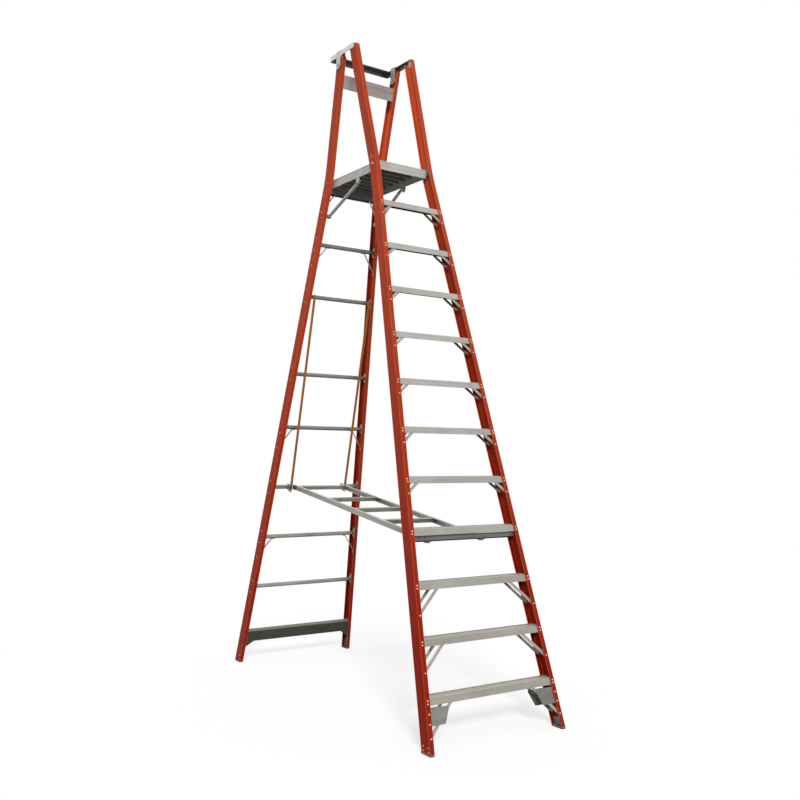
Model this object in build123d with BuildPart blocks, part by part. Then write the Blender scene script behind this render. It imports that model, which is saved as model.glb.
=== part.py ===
from build123d import *
import os
from math import atan2, cos, degrees, hypot, radians, sin, tan

os.makedirs("parts", exist_ok=True)

# A tall platform step ladder: fibreglass channel rails, aluminium steps and rungs.
# +X is the climber's right, +Y runs from the steps to the rear legs, +Z is up.
# The origin lies on the floor, midway between the toes and the heels.

# ---------------------------------------------------------------- driving sizes
fit = 0.3                 # gap between pieces that are riveted face to face
run = 0.4                 # clearance of everything that turns
bury = 1.0                # how far a boss is let into the plate that carries it

front_lean = 17.0         # lean of the climbing rails from upright, degrees
rear_lean = 12.15         # lean of the rear rails from upright, degrees
spread = 2415.0           # floor distance between the front faces of the two sections

front_half = 486.0        # half width over the front rails at the floor
front_taper = 0.0724      # how fast each front rail comes in, per unit of its length
front_bend = 3600.0       # length up the rail where it straightens at the platform
front_flare = 0.016       # how fast it opens again above the bend
front_depth = 82.0
front_flange = 29.0
front_top = 4524.0        # length of the front flange, floor to top

rear_inset = 12.5         # rear rails stand this far inside the front ones, at the floor
rear_taper = 0.0718
rear_bend = 3560.0
rear_flare = 0.026
rear_depth = 78.0
rear_flange = 28.0

rail_wall = 5.0
rail_corner = 3.0
bend_radius = 1500.0      # sweep of each rail round its bend

pad_height = 6.0          # rubber under each foot
pad_corner = 3.0
sole_height = 3.0         # metal sole plate above the rubber
toe = 0.5                 # how far a pad stands out round its rail
shoe_wall = 3.0
shoe_height = 74.0        # shoe's upright plate, up the rail

step_count = 11
step_pitch = 304.8
first_step = 272.8        # lowest step's rivet line, up the rail
skirt_drop = 19.0
skirt_rise = 20.0
rear_skirt = 28.0
tread_wall = 2.6
ridge_count = 9
ridge_pitch = 7.2
ridge_width = 2.4
ridge_height = 1.2
stiffener_depth = 9.0
stiffener_pitch = 26.0

brace_width = 18.0
brace_wall = 3.0
brace_inset = 15.0        # brace's low end, inward of the rail's outer face
brace_end = 8.0           # brace's high end, below the step's rivet line
pad_sides = 8             # spacer at a brace's low end
short_drop = 78.0
short_reach = 92.0
long_drop = 155.0
long_reach = 162.0
long_brace_count = 3      # steps with long braces, the lowest among them
foot_drop = 184.0         # braces of the lowest step
foot_reach = 178.0
carrier_index = 3         # step, counted up from the lowest, that carries the spreader

gusset_wall = 2.6
gusset_top = 30.0         # below the lowest step's rivet line
gusset_depth = 92.0
gusset_inset = 7.0
gusset_reach = 160.0
gusset_toe = 44.0
gusset_corner = 8.0

rung_heights = [3098.0, 2725.5, 2163.0, 1770.0, 1323.0, 947.0, 570.0]
rung_radius = 15.0
rung_wall = 2.5
plate_wall = 3.0
plate_half = 54.0         # rung end plate, half its height
plate_half_width = 26.0
collar_wall = 3.5
collar_length = 14.0
braced_indexes = [0, 3, 5]
rung_brace_drop = 129.0
rest_brace_drop = 150.0   # the same under the platform rest
rung_brace_reach = 92.0
rung_brace_width = 16.0
rung_brace_tab = 22.0

base_low = 154.0          # deep channel across the rear legs
base_high = 238.0
base_wing = 52.0          # how far its ends reach down the rails
base_wing_run = 82.0
base_lip = 34.0
base_wall = 3.0
base_gusset_gap = 6.0     # gusset's top edge below the channel's

hinge_up = 4330.0         # rear pivot, up the rear rail
rear_over = 60.0          # rear rail above its pivot
hinge_bolt = 6.0
hinge_plate = 3.0
plate_half_length = 26.0  # hinge plate, half its length fore and aft
plate_leg = 26.0          # leg of a hinge plate over or under the guard
flange_gap = 2.0          # between the inner hinge plate and the turning flanges
bolt_head = 10.0
bolt_head_height = 6.0

guard_height = 34.0
guard_rise = 94.8         # guard's top above the rear pivot
guard_arm = 22.0
guard_bar = 48.0
guard_behind = 124.0      # rear face of the guard, behind the rear pivot
guard_setback = 28.0      # front ends of the guard, behind the front rail's face
guard_wall = 3.0
guard_corner = 14.0
strap_height = 40.0
strap_near = 14.0
strap_far = 60.0
strap_wall = 3.0
strap_foot = 12.0

panel_gap = 60.0          # panel's top edge below the rear pivot
panel_height = 90.0
panel_wall = 2.5
panel_lip = 12.0
clip_width = 14.0
clip_height = 34.0
clip_wall = 2.0

platform_gap = 6.4        # between the deck and the front flanges, at their closest
platform_pivot_up = 3622.0
platform_pivot_in = 41.0
platform_rise = 26.3      # deck top above the pivot
platform_height = 58.0
platform_nose = 15.0      # front face ahead of the pivot
platform_tail = 18.0      # how far the rest shows behind the deck
deck_wall = 4.0
fascia_wall = 3.0
fascia_lip = 5.0          # rolled lips along the fascia's two edges
fascia_proud = 1.0
deck_rib_pitch = 76.0
deck_rib_depth = 34.0
deck_rib_wall = 3.0
deck_rib_gap = 13.0       # from the end of a rib to the middle of a strut
deck_groove_pitch = 19.0
deck_groove = 1.0

pivot_bolt = 6.0
sleeve_wall = 5.0
pivot_plate = 3.0
pivot_plate_up = 62.0
pivot_plate_down = 16.0
pivot_plate_near = 20.0
pivot_plate_far = 62.0

rest_height = 34.0
rest_wall = 3.0

strut_forward = 367.4     # upper strut pin ahead of the lower one
strut_rise = 177.7        # and above it
strut_low_up = 3300.0     # lower strut pin, up the rear rail
strut_low_out = 8.0       # and ahead of its face
strut_gap = 14.5          # from the fascia's inner face to a strut's upper end
strut_splay = 21.5        # how much wider apart the struts' lower ends stand
strut_radius = 11.5
strut_neck = 34.0
strut_tab = 6.0
strut_tab_half = 11.0
strut_pin = 5.0
clevis_wall = 4.0
clevis_half = 14.0
clevis_base = 4.0
lug_half = 17.0
lug_plate = 1.2           # plate outside the fascia at each upper strut pin
lug_plate_rise = 52.0
lug_plate_half = 12.0

lock_index = 4            # the rung that is left open for the spreader
spreader_clear = 8.0      # between a side channel and its guide bar
spreader_width = 22.0
spreader_height = 32.0
spreader_wall = 3.0
spreader_pivot_up = 1158.5
spreader_pivot_in = 121.0
spreader_end_up = 12.2    # rear end of the spreader, above the open rung's line
spreader_end_out = 12.7   # and ahead of the rear rails' faces
first_cross = 120.0
last_cross = 32.0         # from the rear end
cross_pitch = 350.0       # of the three crosses about the middle
cross_shift = 12.0
cross_width = 34.0
cross_wall = 3.0
shoe_length = 40.0        # plastic slippers on the spreader's rear corners
shoe_side = 0.5           # air between a slipper and its guide bar
spreader_pin = 6.0
ear_wall = 4.0
ear_half = 11.0

carrier_near = 24.0
carrier_far = 72.0
carrier_high = 17.0       # carrier's top below its step's rivet line
carrier_low = 44.0
carrier_wall = 3.0

guide_gap = 13.8          # between a guide bar and the rail's flange, at its top
guide_width = 16.0
guide_thick = 8.0
guide_off = 1.0           # ahead of the rear rails' faces
guide_over = 18.0         # bar above the second rung
guide_under = 14.0        # bar below the open rung
top_guide_index = 1
saddle_half = 12.0
hook_up = 20.0
hook_down = 30.0
hook_wall = 8.0
hook_inset = 4.0
hook_round = 22.0

# ---------------------------------------------------------------- derived places
rear_half = front_half - rear_inset
lean_f = radians(front_lean)
lean_r = radians(rear_lean)
sole = pad_height + sole_height
front_toe_y = sole * tan(lean_f) - toe
rear_heel_y = spread - sole * tan(lean_r) + rear_depth / cos(lean_r) + toe
front_y = -(front_toe_y + rear_heel_y) / 2
rear_y = front_y + spread
below_floor = -60.0
sides = {"left": -1, "right": 1}

front = Plane(origin=(0, front_y, 0), x_dir=(1, 0, 0), z_dir=(0, -cos(lean_f), sin(lean_f)))
rear = Plane(origin=(0, rear_y, 0), x_dir=(1, 0, 0), z_dir=(0, -cos(lean_r), -sin(lean_r)))


def bent_line(up, half, taper, bend, flare):
    """Half width along a rail that tapers in and flares out again, with a sharp bend."""
    return half - taper * min(up, bend) + flare * max(up - bend, 0)


def rounding(up, taper, bend, flare):
    """How far the bend's radius keeps a rail outside its sharp line."""
    reach = bend_radius * (taper + flare) / 2
    return max(reach - abs(up - bend), 0) ** 2 / (2 * bend_radius)


def front_line(up):
    return bent_line(up, front_half, front_taper, front_bend, front_flare)


def rear_line(up):
    return bent_line(up, rear_half, rear_taper, rear_bend, rear_flare)


def front_edge(up):
    """Half width over the front rails at a length up the rail."""
    return front_line(up) + rounding(up, front_taper, front_bend, front_flare)


def rear_edge(up):
    """Half width over the rear rails at a length up the rail."""
    return rear_line(up) + rounding(up, rear_taper, rear_bend, rear_flare)


def on_front(up, inward):
    """World (y, z) of a point up the front rail and inward from its face."""
    return (front_y + up * sin(lean_f) + inward * cos(lean_f),
            up * cos(lean_f) - inward * sin(lean_f))


def on_rear(up, inward):
    """World (y, z) of a point up the rear rail and inward from its front face."""
    return (rear_y - up * sin(lean_r) + inward * cos(lean_r),
            up * cos(lean_r) + inward * sin(lean_r))


def front_at_height(height, inward):
    """World y of the front rail's depth line at a height."""
    return front_y + (inward + height * sin(lean_f)) / cos(lean_f)


def rear_at_height(height, inward):
    """World y of the rear rail's depth line at a height."""
    return rear_y + (inward - height * sin(lean_r)) / cos(lean_r)


def side_plane(x, y=0.0, z=0.0):
    """Plane that looks along +X, with local x along +Y and local y up."""
    return Plane(origin=(x, y, z), x_dir=(0, 1, 0), z_dir=(1, 0, 0))


def save(piece, label):
    """Label a finished piece and write its file."""
    piece.part.label = label
    export_step(piece.part, f"parts/{label}.step")


inside = rail_wall + fit
rear_axle = rear_depth / 2
step_lines = [first_step + step_pitch * i for i in range(step_count)]

hinge_y, hinge_z = on_rear(hinge_up, rear_axle)
guard_top = hinge_z + guard_rise
guard_bottom = guard_top - guard_height
guard_back = hinge_y + guard_behind
guard_front = front_at_height(guard_bottom, guard_setback)
guard_half = front_edge(front_top) + guard_wall + 2 * fit

pivot_y, pivot_z = on_front(platform_pivot_up, platform_pivot_in)
deck_top = pivot_z + platform_rise
platform_bottom = deck_top - platform_height
platform_front = pivot_y - platform_nose
rest_top = platform_bottom - fit
rest_back = rear_at_height(rest_top, rear_depth - inside)
platform_back = rest_back - platform_tail
platform_length = platform_back - platform_front
platform_half = front_line(front_bend) - front_flange - platform_gap

strut_middle = platform_half - fascia_wall - strut_gap
strut_low_middle = strut_middle + strut_splay
strut_low_y, strut_low_z = on_rear(strut_low_up, -strut_low_out)
strut_high_y = strut_low_y - strut_forward
strut_high_z = strut_low_z + strut_rise

guide_in = rear_edge(rung_heights[top_guide_index]) - rear_flange - guide_gap - guide_width
spreader_half = guide_in - spreader_clear
spread_y, spread_z = on_front(spreader_pivot_up, spreader_pivot_in)
spreader_end_y, spreader_end_z = on_rear(rung_heights[lock_index] + spreader_end_up,
                                         -spreader_end_out)
spreader_length = hypot(spreader_end_y - spread_y, spreader_end_z - spread_z)
spreader_slope = atan2(spreader_end_z - spread_z, spreader_end_y - spread_y)


# ---------------------------------------------------------------- rails
def strip(line, bend, side, near, far, low, high):
    """Elevation face that follows a rail's outer edge between two insets."""
    def corner(inset, up):
        return (side * (line(up) - inset), up)

    with BuildLine() as outline:
        for inset in (near, far):
            if low < bend < high:
                FilletPolyline(corner(inset, low), corner(inset, bend), corner(inset, high),
                               radius=bend_radius)
            else:
                Line(corner(inset, low), corner(inset, high))
        Line(corner(near, low), corner(far, low))
        Line(corner(near, high), corner(far, high))
    make_face(outline.edges())


def channel_rail(plane, line, edge_at, bend, side, depth, flange, high):
    """Fibreglass channel with its web outside and its flanges turned inward."""
    def outside_corner(edge):
        spot = plane.to_local_coords(edge.center())
        on_edge = abs(abs(spot.X) - edge_at(spot.Y)) < fit
        on_face = min(abs(spot.Z), abs(spot.Z + depth)) < fit
        return on_edge and on_face and edge.length > depth

    with BuildPart() as rail:
        with BuildSketch(plane):
            strip(line, bend, side, 0, flange, below_floor, high)
        extrude(amount=-rail_wall)
        with BuildSketch(plane.offset(rail_wall - depth)):
            strip(line, bend, side, 0, flange, below_floor, high)
        extrude(amount=-rail_wall)
        with BuildSketch(plane):
            strip(line, bend, side, 0, rail_wall, below_floor, high)
        extrude(amount=-depth)
        fillet([edge for edge in rail.edges() if outside_corner(edge)], radius=rail_corner)
        split(bisect_by=Plane.XY.offset(sole + fit), keep=Keep.TOP)
    return rail


def cross_bore(y, z, radius):
    """Cut a round hole straight across the piece that is being built."""
    with BuildSketch(side_plane(0)) as hole:
        with Locations((y, z)):
            Circle(radius)
    extrude(hole.sketch, amount=front_half, both=True, mode=Mode.SUBTRACT)


for name, side in sides.items():
    rail = channel_rail(front, front_line, front_edge, front_bend, side,
                        front_depth, front_flange, front_top)
    with BuildPart() as front_rail:
        add(rail.part)
        split(bisect_by=Plane.XY.offset(guard_top - guard_wall - fit), keep=Keep.BOTTOM)
        cross_bore(pivot_y, pivot_z, pivot_bolt + run)
    save(front_rail, f"front_rail_{name}")

for name, side in sides.items():
    rail = channel_rail(rear, rear_line, rear_edge, rear_bend, side,
                        rear_depth, rear_flange, hinge_up + rear_over)
    with BuildPart() as rear_rail:
        add(rail.part)
        cross_bore(hinge_y, hinge_z, hinge_bolt + run)
    save(rear_rail, f"rear_rail_{name}")


# ---------------------------------------------------------------- feet
def foot_outline(edge_at, at_height, depth, flange, side, grow):
    """Plan rectangle under one rail, grown all round."""
    y_near = at_height(sole, 0)
    y_far = at_height(sole, depth)
    x_mid = side * (edge_at(sole) - flange / 2)
    with Locations((x_mid, (y_near + y_far) / 2)):
        Rectangle(flange + 2 * grow, y_far - y_near + 2 * grow)


def shoes(plane, line, edge_at, at_height, bend, depth, flange):
    """Metal shoes: a sole under each rail's end and a plate inside its web."""
    with BuildPart() as piece:
        for side in sides.values():
            with BuildSketch(plane.offset(-inside)):
                strip(line, bend, side, inside, inside + shoe_wall, below_floor, shoe_height)
            extrude(amount=-(depth - 2 * inside))
        split(bisect_by=Plane.XY.offset(pad_height), keep=Keep.TOP)
        for side in sides.values():
            with BuildSketch(Plane.XY.offset(pad_height)):
                foot_outline(edge_at, at_height, depth, flange, side, 0)
            extrude(amount=sole_height)
    return piece


def pads(edge_at, at_height, depth, flange):
    """Rubber pads under one section's two feet."""
    with BuildPart() as piece:
        for side in sides.values():
            with BuildSketch(Plane.XY):
                foot_outline(edge_at, at_height, depth, flange, side, toe)
            extrude(amount=pad_height)
        fillet(piece.edges().filter_by(Axis.Z), radius=pad_corner)
    return piece


save(shoes(front, front_line, front_edge, front_at_height, front_bend,
           front_depth, front_flange), "front_shoes")
save(shoes(rear, rear_line, rear_edge, rear_at_height, rear_bend,
           rear_depth, rear_flange), "rear_shoes")
save(pads(front_edge, front_at_height, front_depth, front_flange), "front_pads")
save(pads(rear_edge, rear_at_height, rear_depth, rear_flange), "rear_pads")


# ---------------------------------------------------------------- steps
def tread(up):
    """Extruded step: ribbed top, leaning front and rear skirts, stiffeners below."""
    nose_y, top_z = on_front(up + skirt_rise, inside)
    far = front_depth - inside
    back_y = front_at_height(top_z, far)
    back_up = (top_z + far * sin(lean_f)) / cos(lean_f)
    middle_y = (nose_y + back_y) / 2
    with BuildPart() as step:
        with BuildSketch(side_plane(0)):
            with BuildLine():
                Polyline(on_front(up - skirt_drop, inside), (nose_y, top_z), (back_y, top_z),
                         on_front(back_up - rear_skirt, far))
                offset(amount=tread_wall, side=Side.RIGHT)
            make_face()
            with Locations((middle_y, top_z)):
                with GridLocations(ridge_pitch, 1, ridge_count, 1):
                    Rectangle(ridge_width, 2 * ridge_height)
            with Locations((middle_y, top_z - tread_wall - stiffener_depth / 2)):
                with GridLocations(stiffener_pitch, 1, 2, 1):
                    Rectangle(tread_wall, stiffener_depth + tread_wall)
        extrude(amount=front_edge(back_up) - inside - fit, both=True)
    return step


for number, up in enumerate(step_lines):
    save(tread(up), f"step_{number + 1:02d}")


# ---------------------------------------------------------------- step braces
def brace(up, side, drop, reach):
    """Pair of flat braces from inside the rail's flanges to inside the step's skirts."""
    behind_skirt = inside + tread_wall + fit
    rear_layer = front_depth - behind_skirt
    for layer, spacer in ((behind_skirt, inside), (rear_layer - brace_wall, rear_layer - bury)):
        level = up + (layer - behind_skirt) * tan(lean_f)
        low = Vector(side * (front_edge(level - drop) - brace_inset), level - drop)
        high = Vector(side * (front_edge(up) - reach), level - brace_end)
        middle = (low + high) / 2
        span = high - low
        turn = degrees(atan2(span.Y, span.X))
        with BuildSketch(front.offset(-layer)) as bar:
            with Locations(Location((middle.X, middle.Y), turn)):
                Rectangle(span.length + brace_width, brace_width)
            chamfer(bar.vertices(), length=brace_width / 3)
        extrude(bar.sketch, amount=-brace_wall)
        with BuildSketch(front.offset(-spacer)) as pad:
            with Locations((low.X, low.Y)):
                RegularPolygon(brace_width / 2 - bury, pad_sides)
        extrude(pad.sketch, amount=-(tread_wall + fit + bury))


with BuildPart() as long_step_braces:
    for side in sides.values():
        brace(step_lines[0], side, foot_drop, foot_reach)
        for number in range(1, long_brace_count):
            brace(step_lines[number], side, long_drop, long_reach)
save(long_step_braces, "long_step_braces")

with BuildPart() as short_step_braces:
    for side in sides.values():
        for number in range(carrier_index + 1, step_count):
            brace(step_lines[number], side, short_drop, short_reach)
save(short_step_braces, "short_step_braces")

with BuildPart() as foot_gussets:
    low = first_step - gusset_top - gusset_depth
    high = first_step - gusset_top
    outer_x = front_edge(high) - gusset_inset
    inner_x = front_edge(high) - gusset_reach
    for layer in (inside, front_depth - inside - gusset_wall):
        for side in sides.values():
            with BuildSketch(front.offset(-layer)):
                with BuildLine():
                    FilletPolyline((side * outer_x, high), (side * inner_x, high),
                                   (side * (inner_x + gusset_toe), low), (side * outer_x, low),
                                   radius=gusset_corner, close=False)
                    Line((side * outer_x, low), (side * outer_x, high))
                make_face()
            extrude(amount=-gusset_wall)
save(foot_gussets, "foot_gussets")


# ---------------------------------------------------------------- rear rungs
def rung_end(up):
    """Half length of a rung whose ends stop at the end plates."""
    return rear_edge(up) - inside - plate_wall - rear_taper * rung_radius - fit


def ring(x, y, z, outer, inner, length):
    """Round ring along X that starts at x and grows by a signed length."""
    with BuildSketch(side_plane(x, y, z)) as section:
        Circle(outer)
        Circle(inner, mode=Mode.SUBTRACT)
    extrude(section.sketch, amount=length)


stub_in = guide_in + hook_inset + hook_wall - bury
for number, up in enumerate(rung_heights):
    y, z = on_rear(up, rear_axle)
    with BuildPart() as rung:
        if number == lock_index:
            for side in sides.values():
                ring(side * stub_in, y, z, rung_radius, rung_radius - rung_wall,
                     side * (rung_end(up) - stub_in))
        else:
            ring(-rung_end(up), y, z, rung_radius, rung_radius - rung_wall, 2 * rung_end(up))
    save(rung, f"rung_{number + 1}")

with BuildPart() as rung_brackets:
    for up in rung_heights:
        y, z = on_rear(up, rear_axle)
        for side in sides.values():
            with BuildSketch(rear.offset(plate_half_width - rear_axle)):
                strip(rear_line, rear_bend, side, inside, inside + plate_wall,
                      up - plate_half, up + plate_half)
            extrude(amount=-2 * plate_half_width)
            ring(side * (rear_edge(up) - inside - plate_wall + bury), y, z,
                 rung_radius + fit + collar_wall, rung_radius + fit, -side * collar_length)
save(rung_brackets, "rung_brackets")


def rung_brace(up, side, drop):
    """Bent flat bar from the rail's web up to the underside of a cross member."""
    low = up - drop
    wall = inside + brace_wall
    foot_x = side * (rear_edge(low) - wall)
    top_x = side * (rear_edge(up) - rung_brace_reach)
    under = up - brace_wall
    with BuildSketch(rear.offset(rung_brace_width / 2 - rear_axle)) as bar:
        with BuildLine():
            Polyline((side * (rear_edge(low - rung_brace_tab) - wall), low - rung_brace_tab),
                     (foot_x, low), (top_x, under), (top_x - side * rung_brace_tab, under))
            offset(amount=brace_wall, side=Side.LEFT if side < 0 else Side.RIGHT)
        make_face()
    extrude(bar.sketch, amount=-rung_brace_width)


with BuildPart() as rung_braces:
    rest_line = ((rest_top - rest_wall - fit) / cos(lean_r)
                 - (rear_axle + rung_brace_width / 2) * tan(lean_r))
    for side in sides.values():
        rung_brace(rest_line, side, rest_brace_drop)
        for number in braced_indexes:
            rung_brace(rung_heights[number] - rung_radius - fit, side, rung_brace_drop)
save(rung_braces, "rung_braces")


# ---------------------------------------------------------------- rear cross members
with BuildPart() as base_channel:
    half = rear_edge(base_high) - inside - fit
    with BuildSketch(rear.offset(-inside)):
        with Locations((0, (base_low + base_high) / 2)):
            Rectangle(2 * half, base_high - base_low)
    extrude(amount=-base_wall)
    for low, reach in ((base_low, half - base_wing_run - fit), (base_high - base_wall, half)):
        with BuildSketch(rear.offset(-inside)):
            with Locations((0, low + base_wall / 2)):
                Rectangle(2 * reach, base_wall)
        extrude(amount=-base_lip)
save(base_channel, "base_channel")

with BuildPart() as base_gussets:
    half = rear_edge(base_high) - inside - fit
    for side in sides.values():
        with BuildSketch(rear.offset(-inside - base_wall - fit)):
            with BuildLine():
                Polyline((side * half, base_high - base_gusset_gap),
                         (side * half, base_low - base_wing),
                         (side * (half - base_wing_run), base_low),
                         (side * (half - base_wing_run), base_high - base_gusset_gap),
                         close=True)
            make_face()
        extrude(amount=-base_wall)
save(base_gussets, "base_gussets")

with BuildPart() as platform_rest:
    rest_front = rear_at_height(rest_top, inside) + rest_height * tan(lean_r)
    with BuildSketch(side_plane(0)):
        with BuildLine():
            Polyline((rest_front, rest_top - rest_height), (rest_front, rest_top),
                     (rest_back, rest_top), (rest_back, rest_top - rest_height))
            offset(amount=rest_wall, side=Side.RIGHT)
        make_face()
    half = rear_line(rear_bend) - inside - fit
    extrude(amount=half, both=True)
save(platform_rest, "platform_rest")

with BuildPart() as back_panel:
    high = hinge_up - panel_gap
    low = high - panel_height
    half = rear_edge(low) - inside - fit
    with BuildSketch(rear.offset(-inside)):
        with Locations((0, (low + high) / 2)):
            Rectangle(2 * half, panel_height)
    extrude(amount=-panel_wall)
    for up in (low, high - panel_wall):
        with BuildSketch(rear.offset(-inside)):
            with Locations((0, up + panel_wall / 2)):
                Rectangle(2 * half, panel_wall)
        extrude(amount=-panel_lip)
save(back_panel, "back_panel")

with BuildPart() as panel_clip:
    clip_x = rear_edge(high) - rear_flange - clip_width
    with BuildSketch(rear.offset(-inside + fit + clip_wall)):
        with Locations((clip_x, high - clip_height / 2)):
            RectangleRounded(clip_width, clip_height, clip_wall)
    extrude(amount=-clip_wall)
save(panel_clip, "panel_clip")


# ---------------------------------------------------------------- guard and rear hinge
def guard_outline(inset):
    """Outer line of the U-shaped guard, seen from above, from one front end to the other."""
    half = guard_half - inset
    return [(-half, guard_front), (-half, guard_back - inset), (half, guard_back - inset),
            (half, guard_front)]


def guard_plan(inset, arm, bar):
    """Plan of the guard between its inset outer line and the inner edge of its arms and bar."""
    inner = guard_half - arm
    back = guard_back - bar
    with BuildLine() as outline:
        FilletPolyline(*guard_outline(inset), radius=guard_corner - inset)
        Polyline((inset - guard_half, guard_front), (-inner, guard_front), (-inner, back),
                 (inner, back), (inner, guard_front), (guard_half - inset, guard_front))
    make_face(outline.edges())


with BuildPart() as guard_rail:
    with BuildSketch(Plane.XY.offset(guard_top)):
        guard_plan(0, guard_arm, guard_bar)
    extrude(amount=-guard_height)
    with BuildSketch(Plane.XY.offset(guard_top - guard_wall)):
        guard_plan(guard_wall, guard_arm, guard_bar)
    extrude(amount=-guard_height, mode=Mode.SUBTRACT)
save(guard_rail, "guard_rail")

with BuildPart() as guard_straps:
    top_z = guard_top - guard_wall - fit
    strap_low = (top_z - strap_height) / cos(lean_f)
    strap_high = (top_z + front_depth) / cos(lean_f)
    wall_x = front_edge(strap_low) - inside
    for side in sides.values():
        with BuildSketch(front.offset(-strap_near)):
            strip(front_line, front_bend, side, inside, inside + strap_wall,
                  strap_low, strap_high)
        extrude(amount=-(strap_far - strap_near))
    split(bisect_by=Plane.XY.offset(top_z), keep=Keep.BOTTOM)
    for side in sides.values():
        with BuildSketch(Plane.XY.offset(top_z)):
            with Locations((side * (wall_x - strap_foot / 2),
                            front_at_height(top_z, (strap_near + strap_far) / 2))):
                Rectangle(strap_foot, strap_far - strap_near)
        extrude(amount=-strap_wall)
save(guard_straps, "guard_straps")


def hinge_plate_side(x, thickness, high):
    """Upright hinge plate with a round lower end, bored for the hinge bolt."""
    with BuildSketch(side_plane(x, hinge_y)) as plate:
        with BuildLine():
            Polyline((-plate_half_length, hinge_z), (-plate_half_length, high),
                     (plate_half_length, high), (plate_half_length, hinge_z))
            ThreePointArc((plate_half_length, hinge_z), (0, hinge_z - plate_half_length),
                          (-plate_half_length, hinge_z))
        make_face()
    extrude(plate.sketch, amount=thickness)


def hinge_plate_leg(x, reach, low):
    """Flat leg of a hinge plate, inward from x."""
    with BuildSketch(Plane.XY.offset(low)) as leg:
        with Locations((x - reach / 2, hinge_y)):
            Rectangle(abs(reach), 2 * plate_half_length)
    extrude(leg.sketch, amount=hinge_plate)


web_x = rear_edge(hinge_up)
outer_plate_x = guard_half + fit
inner_plate_x = rear_edge(hinge_up - plate_half_length) - rear_flange - flange_gap
under_guard = guard_top - guard_wall - fit
for name, side in sides.items():
    with BuildPart() as hinge_bracket:
        hinge_plate_side(side * outer_plate_x, side * hinge_plate, guard_top + fit + hinge_plate)
        hinge_plate_leg(side * (outer_plate_x + hinge_plate), side * plate_leg, guard_top + fit)
        ring(side * (outer_plate_x + bury), hinge_y, hinge_z, hinge_bolt + fit + sleeve_wall,
             hinge_bolt + fit, -side * (outer_plate_x + bury - web_x - run))
        hinge_plate_side(side * inner_plate_x, -side * hinge_plate, under_guard)
        hinge_plate_leg(side * inner_plate_x, -side * plate_leg, under_guard - hinge_plate)
        ring(side * (inner_plate_x - bury), hinge_y, hinge_z, hinge_bolt + fit + sleeve_wall,
             hinge_bolt + fit, side * (web_x - rail_wall - run - inner_plate_x + bury))
        cross_bore(hinge_y, hinge_z, hinge_bolt + fit)
    save(hinge_bracket, f"hinge_bracket_{name}")
def bolt(x, y, z, radius, length, head_radius):
    """Bolt along X from x, with a hexagon head outside and a nut at its far end."""
    sign = 1 if length > 0 else -1
    with BuildSketch(side_plane(x, y, z)) as shank:
        Circle(radius)
    extrude(shank.sketch, amount=length)
    for start, grow in ((x, -sign), (x + length, sign)):
        with BuildSketch(side_plane(start, y, z)) as head:
            RegularPolygon(head_radius, 6)
        extrude(head.sketch, amount=grow * bolt_head_height)


with BuildPart() as hinge_bolts:
    for side in sides.values():
        grip = outer_plate_x - inner_plate_x + 2 * (hinge_plate + fit)
        bolt(side * (outer_plate_x + hinge_plate + fit), hinge_y, hinge_z, hinge_bolt,
             -side * grip, bolt_head)
save(hinge_bolts, "hinge_bolts")


# ---------------------------------------------------------------- platform
with BuildPart() as platform_deck:
    groove_middle = (platform_front + platform_back) / 2
    under = deck_top - deck_wall
    groove_count = int(platform_length // deck_groove_pitch) - 2
    rib_count = int(platform_length // deck_rib_pitch)
    with BuildSketch(side_plane(0)):
        with Locations((groove_middle, deck_top - deck_wall / 2)):
            Rectangle(platform_length, deck_wall)
        with Locations((groove_middle, deck_top)):
            with GridLocations(deck_groove_pitch, 1, groove_count, 1):
                Rectangle(2 * deck_groove, 2 * deck_groove, mode=Mode.SUBTRACT)
    extrude(amount=platform_half, both=True)
    with BuildSketch(side_plane(0)):
        with Locations((groove_middle, under - deck_rib_depth / 2)):
            with GridLocations(deck_rib_pitch, 1, rib_count, 1):
                Rectangle(deck_rib_wall, deck_rib_depth)
    extrude(amount=strut_middle - deck_rib_gap, both=True)
save(platform_deck, "platform_deck")

with BuildPart() as platform_frame:
    fascia_top = deck_top - deck_wall - fit
    with BuildSketch(Plane.XY.offset(platform_bottom)):
        for y in (platform_front + fascia_wall / 2, platform_back - fascia_wall / 2):
            with Locations((0, y)):
                Rectangle(2 * platform_half, fascia_wall)
    extrude(amount=fascia_top - platform_bottom)
    side_near = platform_front + fascia_wall + fit
    side_far = platform_back - fascia_wall - fit
    for side in sides.values():
        with BuildSketch(side_plane(side * platform_half)):
            with BuildLine():
                Polyline((side_near, platform_bottom), (side_near, fascia_top),
                         (side_far, fascia_top), (side_far, platform_bottom),
                         (strut_high_y + lug_half, platform_bottom))
                ThreePointArc((strut_high_y + lug_half, platform_bottom),
                              (strut_high_y, strut_high_z - lug_half),
                              (strut_high_y - lug_half, platform_bottom))
                Line((strut_high_y - lug_half, platform_bottom), (side_near, platform_bottom))
            make_face()
            with Locations((pivot_y, pivot_z)):
                Circle(pivot_bolt + run, mode=Mode.SUBTRACT)
            with Locations((strut_high_y, strut_high_z)):
                Circle(strut_pin + run, mode=Mode.SUBTRACT)
        extrude(amount=-side * fascia_wall)
        with BuildSketch(side_plane(side * platform_half)):
            with Locations((strut_high_y, strut_high_z + (lug_plate_rise - lug_half) / 2)):
                Rectangle(2 * lug_plate_half, lug_plate_rise + lug_half)
        extrude(amount=side * lug_plate)
    for low in (platform_bottom, fascia_top - fascia_lip):
        with BuildSketch(Plane.XY.offset(low)):
            with Locations((0, groove_middle)):
                Rectangle(2 * (platform_half + fascia_proud), platform_length + 2 * fascia_proud)
                Rectangle(2 * platform_half, platform_length, mode=Mode.SUBTRACT)
        extrude(amount=fascia_lip)
    cross_bore(strut_high_y, strut_high_z, strut_pin + run)
save(platform_frame, "platform_frame")

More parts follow.
